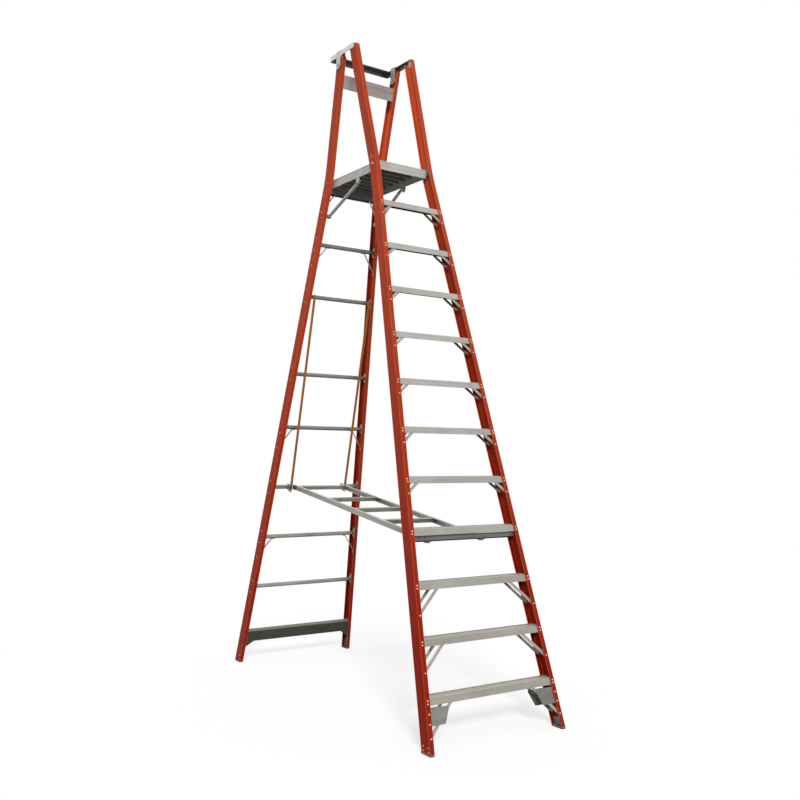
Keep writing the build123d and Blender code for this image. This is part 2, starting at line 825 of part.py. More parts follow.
with BuildPart() as pivot_plates:
    for side in sides.values():
        low = platform_pivot_up - pivot_plate_down
        high = platform_pivot_up + pivot_plate_up
        plate_x = front_line(front_bend) - inside
        with BuildSketch(front.offset(-pivot_plate_near)):
            with Locations((side * (plate_x - pivot_plate / 2), (low + high) / 2)):
                Rectangle(pivot_plate, high - low)
        extrude(amount=-(pivot_plate_far - pivot_plate_near))
        ring(side * (plate_x - pivot_plate + bury), pivot_y, pivot_z,
             pivot_bolt + fit + sleeve_wall, pivot_bolt + fit,
             -side * (plate_x - pivot_plate + bury - platform_half - run))
    cross_bore(pivot_y, pivot_z, pivot_bolt + fit)
save(pivot_plates, "pivot_plates")

with BuildPart() as pivot_bolts:
    for side in sides.values():
        outer_x = front_edge(platform_pivot_up) + fit
        inner_x = platform_half - fascia_wall - run
        bolt(side * outer_x, pivot_y, pivot_z, pivot_bolt, -side * (outer_x - inner_x), bolt_head)
save(pivot_bolts, "pivot_bolts")


# ---------------------------------------------------------------- platform struts
with BuildPart() as strut_clevises:
    for side in sides.values():
        base_in = strut_low_middle - strut_tab / 2 - run - clevis_wall
        base_out = rear_edge(strut_low_up + clevis_half) - inside - fit
        with BuildSketch(rear.offset(-inside)):
            with Locations((side * (base_in + base_out) / 2, strut_low_up)):
                Rectangle(base_out - base_in, 2 * clevis_half)
        extrude(amount=-clevis_base)
        for x in (base_in, strut_low_middle + strut_tab / 2 + run):
            with BuildSketch(rear.offset(-inside)):
                with Locations((side * (x + clevis_wall / 2), strut_low_up)):
                    Rectangle(clevis_wall, 2 * clevis_half)
            extrude(amount=strut_low_out + inside)
            with BuildSketch(side_plane(side * x, strut_low_y, strut_low_z)):
                Circle(clevis_half)
            extrude(amount=side * clevis_wall)
    cross_bore(strut_low_y, strut_low_z, strut_pin + fit)
save(strut_clevises, "strut_clevises")

with BuildPart() as strut_pins:
    for side in sides.values():
        reach = strut_tab / 2 + run + clevis_wall + fit
        bolt(side * (strut_low_middle + reach), strut_low_y, strut_low_z, strut_pin,
             -side * 2 * reach, strut_pin + clevis_wall / 2)
save(strut_pins, "strut_pins")

for name, side in sides.items():
    low_end = Plane(origin=(side * strut_low_middle, strut_low_y, strut_low_z), z_dir=(1, 0, 0),
                    x_dir=(0, -strut_forward, strut_rise))
    high_end = Plane(origin=(side * strut_middle, strut_high_y, strut_high_z), z_dir=(1, 0, 0),
                     x_dir=(0, strut_forward, -strut_rise))
    start = low_end.from_local_coords((strut_neck, 0, 0))
    finish = high_end.from_local_coords((strut_neck, 0, 0))
    with BuildPart() as strut:
        for end in (low_end, high_end):
            with BuildSketch(end):
                with Locations((strut_neck, 0)):
                    SlotCenterToCenter(2 * strut_neck, 2 * strut_tab_half)
            extrude(amount=strut_tab / 2, both=True)
        with BuildSketch(Plane(origin=start, x_dir=(1, 0, 0), z_dir=finish - start)):
            Circle(strut_radius)
        extrude(amount=(finish - start).length)
        with BuildSketch(high_end.offset(side * strut_tab / 2)):
            Circle(strut_pin)
        extrude(amount=side * (platform_half - fascia_wall - run - strut_middle - strut_tab / 2))
        with BuildSketch(low_end):
            Circle(strut_pin + run)
        extrude(amount=strut_tab, both=True, mode=Mode.SUBTRACT)
    save(strut, f"strut_{name}")


# ---------------------------------------------------------------- spreader
beam = Plane(origin=(0, spread_y, spread_z), z_dir=(1, 0, 0),
             x_dir=(0, cos(spreader_slope), sin(spreader_slope)))
middle_cross = spreader_length / 2 + cross_shift
spreader_crosses = [first_cross, middle_cross - cross_pitch, middle_cross,
                    middle_cross + cross_pitch, spreader_length - last_cross]

for name, side in sides.items():
    with BuildPart() as spreader_side:
        with BuildSketch(beam.offset(side * spreader_half)):
            Circle(spreader_height / 2)
            with Locations((spreader_length / 2, 0)):
                Rectangle(spreader_length, spreader_height)
        extrude(amount=-side * spreader_width)
        with BuildSketch(beam.offset(side * (spreader_half - spreader_wall))):
            Circle(spreader_height / 2 - spreader_wall)
            with Locations((spreader_length / 2, 0)):
                Rectangle(spreader_length, spreader_height - 2 * spreader_wall)
        extrude(amount=-side * spreader_width, mode=Mode.SUBTRACT)
        cross_bore(spread_y, spread_z, spreader_pin + run)
    save(spreader_side, f"spreader_side_{name}")

with BuildPart() as spreader_crosses_part:
    half = spreader_half - spreader_wall - fit
    inner = spreader_height / 2 - spreader_wall - fit
    for along_beam in spreader_crosses:
        with BuildSketch(beam):
            with BuildLine():
                Polyline((along_beam - cross_width / 2, -inner),
                         (along_beam - cross_width / 2, inner),
                         (along_beam + cross_width / 2, inner),
                         (along_beam + cross_width / 2, -inner))
                offset(amount=cross_wall, side=Side.RIGHT)
            make_face()
        extrude(amount=half, both=True)
save(spreader_crosses_part, "spreader_crosses")

with BuildPart() as spreader_slippers:
    slipper_wall = guide_in - shoe_side - spreader_half - fit
    for side in sides.values():
        with BuildSketch(beam.offset(side * (spreader_half + fit))):
            with Locations((spreader_length - shoe_length / 2, 0)):
                RectangleRounded(shoe_length, spreader_height, pad_corner)
        extrude(amount=side * slipper_wall)
save(spreader_slippers, "spreader_slippers")

with BuildPart() as spreader_carrier:
    line = step_lines[carrier_index]
    with BuildSketch(side_plane(0)):
        with BuildLine():
            Polyline(on_front(line - carrier_low, carrier_near),
                     on_front(line - carrier_high, carrier_near),
                     on_front(line - carrier_high, carrier_far),
                     on_front(line - carrier_low, carrier_far))
            offset(amount=carrier_wall, side=Side.RIGHT)
        make_face()
    extrude(amount=front_edge(line - carrier_high) - inside, both=True)
    for side in sides.values():
        with BuildSketch(side_plane(side * (spreader_half + run))):
            with BuildLine():
                low = spreader_pivot_up - ear_half
                high = spreader_pivot_up + ear_half
                Polyline(on_front(high, spreader_pivot_in), on_front(high, carrier_far - bury),
                         on_front(low, carrier_far - bury), on_front(low, spreader_pivot_in))
                ThreePointArc(on_front(low, spreader_pivot_in),
                              on_front(spreader_pivot_up, spreader_pivot_in + ear_half),
                              on_front(high, spreader_pivot_in))
            make_face()
            with Locations((spread_y, spread_z)):
                Circle(spreader_pin + fit, mode=Mode.SUBTRACT)
        extrude(amount=side * ear_wall)
save(spreader_carrier, "spreader_carrier")

with BuildPart() as spreader_pins:
    for side in sides.values():
        outer_x = spreader_half + run + ear_wall + fit
        inner_x = spreader_half - spreader_wall - run
        bolt(side * outer_x, spread_y, spread_z, spreader_pin, -side * (outer_x - inner_x),
             bolt_head)
save(spreader_pins, "spreader_pins")


# ---------------------------------------------------------------- guide bars
bar_low = rung_heights[lock_index] - guide_under
bar_high = rung_heights[top_guide_index] + guide_over
for name, side in sides.items():
    with BuildPart() as guide_bar:
        with BuildSketch(rear.offset(guide_off)):
            with Locations((side * (guide_in + guide_width / 2), (bar_low + bar_high) / 2)):
                Rectangle(guide_width, bar_high - bar_low)
        extrude(amount=guide_thick)
        fillet(guide_bar.faces().sort_by(Axis.Z)[-1].edges().filter_by(Axis.X), radius=fit)
    save(guide_bar, f"guide_bar_{name}")

with BuildPart() as guide_saddles:
    for number in range(top_guide_index, lock_index):
        up = rung_heights[number]
        for side in sides.values():
            with BuildSketch(rear.offset(guide_off - fit)):
                with Locations((side * (guide_in + guide_width / 2), up)):
                    Rectangle(guide_width, 2 * saddle_half)
            extrude(amount=-(rear_axle + guide_off - fit))
    for number in range(top_guide_index, lock_index):
        cross_bore(*on_rear(rung_heights[number], rear_axle), rung_radius + fit)
save(guide_saddles, "guide_saddles")

with BuildPart() as guide_hooks:
    up = rung_heights[lock_index]
    y, z = on_rear(up, rear_axle)
    hook_x = guide_in + hook_inset
    nose_in = -guide_off - guide_thick
    for side in sides.values():
        with BuildSketch(side_plane(side * hook_x)):
            with BuildLine():
                Polyline(on_rear(bar_low - fit, nose_in), on_rear(bar_low - fit, fit),
                         on_rear(up + hook_up, fit), on_rear(up + hook_round, rear_axle))
                ThreePointArc(on_rear(up + hook_round, rear_axle),
                              on_rear(up, rear_axle + hook_round),
                              on_rear(up - hook_round, rear_axle))
                Polyline(on_rear(up - hook_round, rear_axle), on_rear(up - hook_down, nose_in),
                         on_rear(bar_low - fit, nose_in))
            make_face()
        extrude(amount=side * hook_wall)
    cross_bore(y, z, rung_radius + fit)
save(guide_hooks, "guide_hooks")
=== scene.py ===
import bpy
from math import cos, hypot, pi, radians, sin, tan
from mathutils import Euler, Matrix, Vector


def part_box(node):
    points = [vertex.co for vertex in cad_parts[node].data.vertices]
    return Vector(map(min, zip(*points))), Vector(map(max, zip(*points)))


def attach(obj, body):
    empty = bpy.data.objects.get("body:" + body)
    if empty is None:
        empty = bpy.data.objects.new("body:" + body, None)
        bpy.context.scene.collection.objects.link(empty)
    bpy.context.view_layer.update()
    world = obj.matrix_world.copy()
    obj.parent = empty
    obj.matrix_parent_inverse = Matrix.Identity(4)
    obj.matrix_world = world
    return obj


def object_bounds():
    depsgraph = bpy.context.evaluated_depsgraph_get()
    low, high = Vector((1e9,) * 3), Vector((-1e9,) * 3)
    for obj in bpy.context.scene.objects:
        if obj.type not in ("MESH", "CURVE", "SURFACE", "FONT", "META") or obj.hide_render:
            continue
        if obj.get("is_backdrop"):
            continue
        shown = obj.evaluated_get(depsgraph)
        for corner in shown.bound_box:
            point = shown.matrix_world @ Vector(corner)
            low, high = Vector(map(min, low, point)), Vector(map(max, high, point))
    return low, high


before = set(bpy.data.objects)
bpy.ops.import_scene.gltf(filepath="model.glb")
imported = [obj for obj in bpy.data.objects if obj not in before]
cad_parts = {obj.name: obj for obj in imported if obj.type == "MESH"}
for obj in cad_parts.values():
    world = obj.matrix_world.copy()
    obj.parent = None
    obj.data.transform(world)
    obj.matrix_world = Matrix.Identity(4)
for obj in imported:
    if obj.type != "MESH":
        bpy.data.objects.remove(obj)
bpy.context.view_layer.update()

bl_info = {
    "name": "Platform step ladder",
    "version": (1, 0, 0),
    "blender": (4, 5, 0),
    "location": "3D View > Sidebar > Ladder",
    "description": "Dresses a fibreglass platform step ladder: "
                   "rail finish, rivets, treads and feet",
    "category": "Object",
}

MM = 0.001
SIDES = (-1, 1)              # left and right
STEPS = sorted(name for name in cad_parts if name.startswith("step_"))
RUNGS = sorted(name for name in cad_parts
               if name.startswith("rung_") and name[5:].isdigit())

# Rails. Lengths are measured up a rail from the floor, along its front face.
FRONT_LEAN = radians(17.0)
REAR_LEAN = radians(12.15)
FRONT_DEPTH = 82.0 * MM
REAR_DEPTH = 78.0 * MM
STEP_LINE = 19.0 * MM        # rivet line of a step, up the rail from its skirt's lower edge
STEP_END = 7.0 * MM          # rail's outer face beyond a step's end
RUNG_END = 9.7 * MM          # rail's outer face beyond a rung's end
BEND_RADIUS = 1500.0 * MM
FRONT_BEND = 3600.0 * MM     # length up a rail where it straightens
REAR_BEND = 3560.0 * MM
FRONT_FLARE = 0.016          # how fast a rail opens again above its bend
REAR_FLARE = 0.026
WALL = 5.3 * MM              # rail's wall and the fit of what lies inside it
# How much further up the rail a level piece meets the rear flange than the front one.
BACK_RISE = (FRONT_DEPTH - 2 * WALL) * tan(FRONT_LEAN)
FRONT_OUT = Vector((0, -cos(FRONT_LEAN), sin(FRONT_LEAN)))
REAR_OUT = Vector((0, cos(REAR_LEAN), sin(REAR_LEAN)))
REAR_UP = Vector((0, -sin(REAR_LEAN), cos(REAR_LEAN)))

# Heads on the front rails' flanges: lengths below a step's line, and in from the outer face.
# Each flange has its rise, its distance from the front face and the way that it faces.
FLANGES = ((0, 0, FRONT_OUT), (BACK_RISE, FRONT_DEPTH, -FRONT_OUT))
CARRIER_STEP = 3             # the step with no braces, which carries the spreader
BRACE_INSET = 15 * MM
GUSSET_DROP = 60 * MM
GUSSET_UPS = (161 * MM, 89 * MM)    # the gusset's lower rivets, up the rail
LONG_DROP = 155 * MM
SHORT_DROP = 78 * MM
# Heads on the webs, in millimetres: in from the front face, up the rail.
FRONT_WEB = ((59, 61), (59, 39), (13, 47), (13, 25), (42, 3685), (54, 3667), (28, 3663),
             (40, 3631), (50, 3622), (32, 3614))
REAR_WEB = ((14, 50), (38, 3324), (18, 3285), (39, 3528), (39, 3445))
PLATE_RIVET = 43 * MM        # rivets of a rung's end plate, above and below the rung
BRACED_RUNGS = (0, 3, 5)     # counted from the top
RUNG_BRACE_DROP = 155 * MM
# Heads on the treads' skirts.
LONG_REACH = (178 * MM, 162 * MM, 162 * MM)  # brace's upper rivet from the rail's outer face
SHORT_REACH = 92 * MM
BRACE_SINK = 3 * MM          # the same rivet, below the step's line
BRACE_HEAD = (4 * MM, 1.6 * MM)              # radius and height
# Carrier's bolt: out from the middle, in from the front face, below its step's line.
CARRIER_BOLT = (287 * MM, 24 * MM, 30 * MM)
BOLT_HEIGHT = 4 * MM
BOLT_SIDES = 6

# Ways that drawn lines lie on a piece: turns about X and Y that bring them to the third axis.
ACROSS = (0.0, pi / 2)
UPRIGHT = (0.0, 0.0)
ALONG_BRACE = (0.0, pi / 4)
ALONG_STRUT = (radians(-28), 0.0)
ALONG_SPREADER = (radians(80), 0.0)

# Heights between which a finish changes.
RAIL_PALES = (0.3, 3.0)
METAL_PALES = (0.3, 2.2)
CHANNEL_SHADE_TO_LIGHT = (2.9, 3.5)  # rails' insides, with painted shade below and painted light on the inner webs beside the platform and guard

# Stage
FLOOR_REACH = 30.0
LAMP_FROM = (-0.38, -0.75, 0.54)
LAMP_STRENGTH = 2.1
LAMP_SPREAD = radians(14)
SKY_LIGHT = 0.42             # the sky as a light, where a strength of 1 is white
FLOOR_LIFT = 0.62            # the floor's own glow where it is seen directly
LENS = 41.63
LENS_RISE = 0.0095
CAMERA_PLACE = (-3.3883, -5.1890, 1.6345)
CAMERA_PITCH = radians(2.23)
CAMERA_HEADING = -radians(34.10)
CAMERA_ROLL = radians(1.08)


def opaque(*colour):
    """Colour with its alpha."""
    return (*colour, 1)


WHITE = opaque(1, 1, 1)
ZINC_LINES = opaque(0.2, 0.19, 0.18)
BRIGHT_METAL = opaque(0.95, 0.94, 0.91)
# Painted shade on the undersides of metal parts
UNDERSIDE_SHADE = opaque(0.06, 0.058, 0.05)
# Painted shade inside a rail's channel
CHANNEL_SHADE = opaque(0.03, 0.03, 0.026)
# Each metal's colour and its darker die lines, where neither is a setting
METALS = {
    "rung aluminium": (opaque(0.21, 0.2, 0.17), opaque(0.1, 0.095, 0.075)),
    "rung end zinc": (opaque(0.58, 0.51, 0.45), opaque(0.3, 0.26, 0.22)),
    "brace aluminium": (opaque(0.44, 0.42, 0.36), opaque(0.24, 0.225, 0.19)),
    "gusset aluminium": (opaque(0.23, 0.22, 0.2), opaque(0.12, 0.115, 0.1)),
    "guard aluminium": (opaque(0.86, 0.86, 0.85), opaque(0.42, 0.42, 0.42)),
    "strap aluminium": (opaque(0.5, 0.49, 0.46), opaque(0.28, 0.27, 0.25)),
    "clip brass": (opaque(0.5, 0.36, 0.16), opaque(0.24, 0.16, 0.07)),
    "platform frame aluminium": (opaque(0.56, 0.555, 0.52), opaque(0.27, 0.265, 0.25)),
    "platform rest aluminium": (opaque(0.12, 0.118, 0.105), opaque(0.06, 0.058, 0.05)),
    "strut steel": (opaque(0.5, 0.505, 0.465), opaque(0.26, 0.26, 0.235)),
    "cross aluminium": (opaque(0.24, 0.235, 0.205), opaque(0.13, 0.125, 0.105)),
    # The carrier's dark tone is painted shade, for where it sits under its step
    "carrier aluminium": (opaque(0.15, 0.145, 0.13), opaque(0.075, 0.072, 0.065)),
    "bracket aluminium": (opaque(0.64, 0.64, 0.61), opaque(0.36, 0.36, 0.34)),
    "bolt zinc": (opaque(0.5, 0.48, 0.44), opaque(0.25, 0.24, 0.22)),
    "pin steel": (opaque(0.1, 0.098, 0.09), opaque(0.05, 0.05, 0.045)),
    "shoe zinc": (opaque(0.24, 0.23, 0.22), opaque(0.12, 0.115, 0.11)),
    "rear shoe zinc": (opaque(0.09, 0.075, 0.065), opaque(0.05, 0.04, 0.035)),
    "brace rivet metal": (opaque(0.3, 0.28, 0.25), opaque(0.16, 0.15, 0.13)),
    "carrier bolt metal": (opaque(0.1, 0.1, 0.095), opaque(0.05, 0.05, 0.045)),
    # The rear rivets' peach tone is a painted reflection of the orange rails in aluminium heads
    "rear rivet metal": (opaque(0.75, 0.42, 0.28), opaque(0.5, 0.24, 0.15)),
}


# ---------------------------------------------------------------- where things are
def floor_lines():
    """Where the front faces of the two sections' rails meet the floor, along Y."""
    front_low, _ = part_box("front_rail_left")
    rear_low, rear_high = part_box("rear_rail_left")
    rear_heel = rear_high[1] + rear_low[2] * tan(REAR_LEAN)
    return (front_low[1] - front_low[2] * tan(FRONT_LEAN),
            rear_heel - REAR_DEPTH / cos(REAR_LEAN))


FRONT_FLOOR, REAR_FLOOR = floor_lines()


def front_point(up, inward, x):
    """Point up the climbing section's rails, inward from their front face."""
    return Vector((x, FRONT_FLOOR + up * sin(FRONT_LEAN) + inward * cos(FRONT_LEAN),
                   up * cos(FRONT_LEAN) - inward * sin(FRONT_LEAN)))


def rear_point(up, inward, x):
    """Point up the rear section's rails, inward from their front face."""
    return Vector((x, REAR_FLOOR - up * sin(REAR_LEAN) + inward * cos(REAR_LEAN),
                   up * cos(REAR_LEAN) + inward * sin(REAR_LEAN)))


def middle_of(name):
    """Middle of a node's box."""
    return [(low + high) / 2 for low, high in zip(*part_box(name))]


def step_up(name):
    """Length up the rail of a step's rivet line."""
    low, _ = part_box(name)
    return (low[1] - FRONT_FLOOR) * sin(FRONT_LEAN) + low[2] * cos(FRONT_LEAN) + STEP_LINE


def rung_up(name):
    """Length up the rail of a rung's middle."""
    _, y, z = middle_of(name)
    return (REAR_FLOOR - y) * sin(REAR_LEAN) + z * cos(REAR_LEAN)


STEP_UPS = [step_up(name) for name in STEPS]
RUNG_UPS = [rung_up(name) for name in RUNGS]
# A point midway between a rail's flanges, and the way across them.
FRONT_CHANNEL = (front_point(0, FRONT_DEPTH / 2, 0), FRONT_OUT)
REAR_CHANNEL = (rear_point(0, REAR_DEPTH / 2, 0), REAR_OUT)


def half_width(first, last, bend, flare, up):
    """Half width at a length up a bent rail, from two members that reach across below the bend."""
    (up_a, half_a), (up_b, half_b) = first, last
    taper = (half_a - half_b) / (up_b - up_a)
    sharp = half_a - taper * (min(up, bend) - up_a) + flare * max(up - bend, 0)
    reach = BEND_RADIUS * (taper + flare) / 2
    return sharp + max(reach - abs(up - bend), 0) ** 2 / (2 * BEND_RADIUS)


def front_half(up):
    """Half width over the climbing section's rails."""
    low, high = [(STEP_UPS[i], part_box(STEPS[i])[1][0] + STEP_END) for i in (0, -1)]
    return half_width(low, high, FRONT_BEND, FRONT_FLARE, up)


def rear_half(up):
    """Half width over the rear section's rails, whose rungs are numbered from the top."""
    low, high = [(RUNG_UPS[i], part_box(RUNGS[i])[1][0] + RUNG_END) for i in (-1, 0)]
    return half_width(low, high, REAR_BEND, REAR_FLARE, up)


# ---------------------------------------------------------------- node building
def add_node(tree, kind, feeds=None, **settings):
    """New node with its settings, and its inputs linked or filled in."""
    node = tree.nodes.new(kind)
    for name, value in settings.items():
        setattr(node, name, value)
    for name, value in (feeds or {}).items():
        if isinstance(value, bpy.types.NodeSocket):
            tree.links.new(value, node.inputs[name])
        else:
            node.inputs[name].default_value = value
    return node


def new_group(name, inputs, outputs, kind="ShaderNodeTree"):
    """Node group with named sockets: inputs are (name, type, default), outputs (name, type)."""
    tree = bpy.data.node_groups.new(name, kind)
    for label, socket, default in inputs:
        item = tree.interface.new_socket(label, in_out="INPUT", socket_type=socket)
        if default is not None:
            item.default_value = default
    for label, socket in outputs:
        tree.interface.new_socket(label, in_out="OUTPUT", socket_type=socket)
    enter = tree.nodes.new("NodeGroupInput")
    leave = tree.nodes.new("NodeGroupOutput")
    return tree, enter.outputs, leave.inputs


def calc(tree, operation, first, second=0.0, clamp=False):
    """Socket with the result of one sum."""
    return add_node(tree, "ShaderNodeMath", {0: first, 1: second}, operation=operation,
                    use_clamp=clamp).outputs[0]


def times(tree, first, second):
    """Socket with two values multiplied."""
    return calc(tree, "MULTIPLY", first, second)


def vector_calc(tree, operation, first, second=(0.0, 0.0, 0.0)):
    """Socket with the vector that one sum makes of others."""
    return add_node(tree, "ShaderNodeVectorMath", {0: first, 1: second},
                    operation=operation).outputs["Vector"]


def dot(tree, first, second):
    """Socket with how far one vector reaches along another."""
    return add_node(tree, "ShaderNodeVectorMath", {0: first, 1: second},
                    operation="DOT_PRODUCT").outputs["Value"]


def upward(tree, vector):
    """Socket with a vector's height."""
    return add_node(tree, "ShaderNodeSeparateXYZ", {0: vector}).outputs["Z"]


def facing(tree):
    """Socket with the way that a surface faces on its own piece."""
    return add_node(tree, "ShaderNodeTexCoord").outputs["Normal"]


def spread(tree, value, low, high, to_low=0.0, to_high=1.0):
    """Socket with a value moved from one range to another, and held inside it."""
    return add_node(tree, "ShaderNodeMapRange",
                    {"Value": value, "From Min": low, "From Max": high,
                     "To Min": to_low, "To Max": to_high}).outputs["Result"]


def blend(tree, amount, first, second, mode="MIX"):
    """Socket with two colours mixed."""
    return add_node(tree, "ShaderNodeMix", {"Factor": amount, 6: first, 7: second},
                    data_type="RGBA", blend_type=mode).outputs[2]


def noise(tree, vector, scale, detail, rough):
    """Socket with a noise value."""
    return add_node(tree, "ShaderNodeTexNoise", {"Vector": vector, "Scale": scale,
                                                 "Detail": detail, "Roughness": rough}
                    ).outputs["Fac"]


# ---------------------------------------------------------------- shared effects
def drawn_lines():
    """Lines drawn along the third axis, as a die or a brush leaves them."""
    tree, enter, leave = new_group(
        "drawn lines",
        [("Vector", "NodeSocketVector", None), ("Fineness", "NodeSocketFloat", 260.0),
         ("Stretch", "NodeSocketFloat", 0.02)],
        [("Lines", "NodeSocketFloat"), ("Bands", "NodeSocketFloat"),
         ("Clouds", "NodeSocketFloat")])
    scale = add_node(tree, "ShaderNodeCombineXYZ", {0: 1.0, 1: 1.0, 2: enter["Stretch"]})
    drawn = vector_calc(tree, "MULTIPLY", enter["Vector"], scale.outputs[0])
    tree.links.new(noise(tree, drawn, enter["Fineness"], 5.0, 0.6), leave["Lines"])
    broad = times(tree, enter["Fineness"], 0.16)
    tree.links.new(noise(tree, drawn, broad, 2.0, 0.5), leave["Bands"])
    tree.links.new(noise(tree, enter["Vector"], 3.1, 3.0, 0.5), leave["Clouds"])


def edge_wear_and_highlight():
    """Masks of the outer edges of a piece: Edge whole, for a painted highlight, and Mask broken up
    along their length, for wear.
    """
    tree, enter, leave = new_group(
        "edge wear and highlight",
        [("Vector", "NodeSocketVector", None), ("Width", "NodeSocketFloat", 0.002),
         ("Breaks", "NodeSocketFloat", 35.0)],
        [("Mask", "NodeSocketFloat"), ("Edge", "NodeSocketFloat")])
    soft = add_node(tree, "ShaderNodeBevel", {"Radius": enter["Width"]}, samples=4)
    sharp = add_node(tree, "ShaderNodeNewGeometry")
    turn = dot(tree, soft.outputs["Normal"], sharp.outputs["Normal"])
    edge = spread(tree, turn, 0.985, 0.86)
    broken = spread(tree, noise(tree, enter["Vector"], enter["Breaks"], 4.0, 0.65), 0.38, 0.62)
    tree.links.new(edge, leave["Edge"])
    tree.links.new(times(tree, edge, broken), leave["Mask"])


def handling():
    """Scuffs, dust and smudges left by use, and dust that settles low down."""
    tree, enter, leave = new_group(
        "handling",
        [("Vector", "NodeSocketVector", None), ("Scale", "NodeSocketFloat", 9.0),
         ("Reach", "NodeSocketFloat", 0.5)],
        [("Smudges", "NodeSocketFloat"), ("Scuffs", "NodeSocketFloat"),
         ("Dust", "NodeSocketFloat")])
    smudge = noise(tree, enter["Vector"], enter["Scale"], 6.0, 0.62)
    tree.links.new(spread(tree, smudge, 0.48, 0.72), leave["Smudges"])
    tall = vector_calc(tree, "MULTIPLY", enter["Vector"], (1.0, 1.0, 0.18))
    fine = times(tree, enter["Scale"], 11.0)
    tree.links.new(spread(tree, noise(tree, tall, fine, 3.0, 0.7), 0.64, 0.74), leave["Scuffs"])
    low = spread(tree, upward(tree, enter["Vector"]), enter["Reach"], 0.0)
    grains = spread(tree, noise(tree, enter["Vector"], 60.0, 5.0, 0.7), 0.35, 0.7)
    tree.links.new(times(tree, low, grains), leave["Dust"])


def effect(tree, name, **feeds):
    """Outputs of a shared effect placed in a material."""
    return add_node(tree, "ShaderNodeGroup", feeds, node_tree=bpy.data.node_groups[name]).outputs


def lined(tree, vector, fineness, stretch):
    """Outputs of the drawn lines, placed in a material."""
    return effect(tree, "drawn lines", Vector=vector, Fineness=fineness, Stretch=stretch)


def edge_masks(tree, vector, width, breaks):
    """Outputs of the edge wear and highlight masks, placed in a material."""
    return effect(tree, "edge wear and highlight", Vector=vector, Width=width, Breaks=breaks)


def handled(tree, vector, scale, reach):
    """Outputs of the handling, placed in a material."""
    return effect(tree, "handling", Vector=vector, Scale=scale, Reach=reach)


# ---------------------------------------------------------------- masks
def inner_faces(tree, place, middle):
    """Mask of the upright faces that look inwards, towards a piece's middle."""
    level = vector_calc(tree, "MULTIPLY", vector_calc(tree, "SUBTRACT", place, middle), (1, 1, 0))
    outward = vector_calc(tree, "NORMALIZE", level)
    return spread(tree, dot(tree, outward, facing(tree)), -0.1, -0.5)


def channel_insides(tree, place, middle, across):
    """Mask of the faces inside a channel, whose flanges stand either side of a middle plane."""
    turn = dot(tree, facing(tree), across)
    depth = dot(tree, vector_calc(tree, "SUBTRACT", place, middle), across)
    return spread(tree, times(tree, turn, depth), -0.004, -0.02)


def past_every_rung(tree, place, half):
    """Mask of what lies further than a length from every rung, up or down the rear rails."""
    up = dot(tree, vector_calc(tree, "SUBTRACT", place, rear_point(0, 0, 0)), REAR_UP)
    nearest = 1.0
    for line in RUNG_UPS:
        away = calc(tree, "ABSOLUTE", calc(tree, "SUBTRACT", up, line))
        nearest = calc(tree, "MINIMUM", nearest, away)
    return spread(tree, nearest, half, half + 4 * MM)


# ---------------------------------------------------------------- finishes
def new_material(name):
    """Material with a bare Principled shader, its tree and its Object coordinates."""
    material = bpy.data.materials.new(name)
    material.use_nodes = True
    tree = material.node_tree
    shader = tree.nodes["Principled BSDF"]
    place = add_node(tree, "ShaderNodeTexCoord").outputs["Object"]
    return material, tree, shader, place


def turned(tree, place, lie):
    """Coordinates turned so that the third axis runs along a piece."""
    return add_node(tree, "ShaderNodeMapping", {"Vector": place, "Rotation": (*lie, 0.0)}
                    ).outputs["Vector"]


def finish(tree, shader, colour, rough, height, distance, strength):
    """Feed a shader its colour and roughness, and a bump from a height value."""
    tree.links.new(colour, shader.inputs["Base Color"])
    tree.links.new(rough, shader.inputs["Roughness"])
    bump = add_node(tree, "ShaderNodeBump", {"Height": height, "Distance": distance,
                                             "Strength": strength})
    tree.links.new(bump.outputs["Normal"], shader.inputs["Normal"])


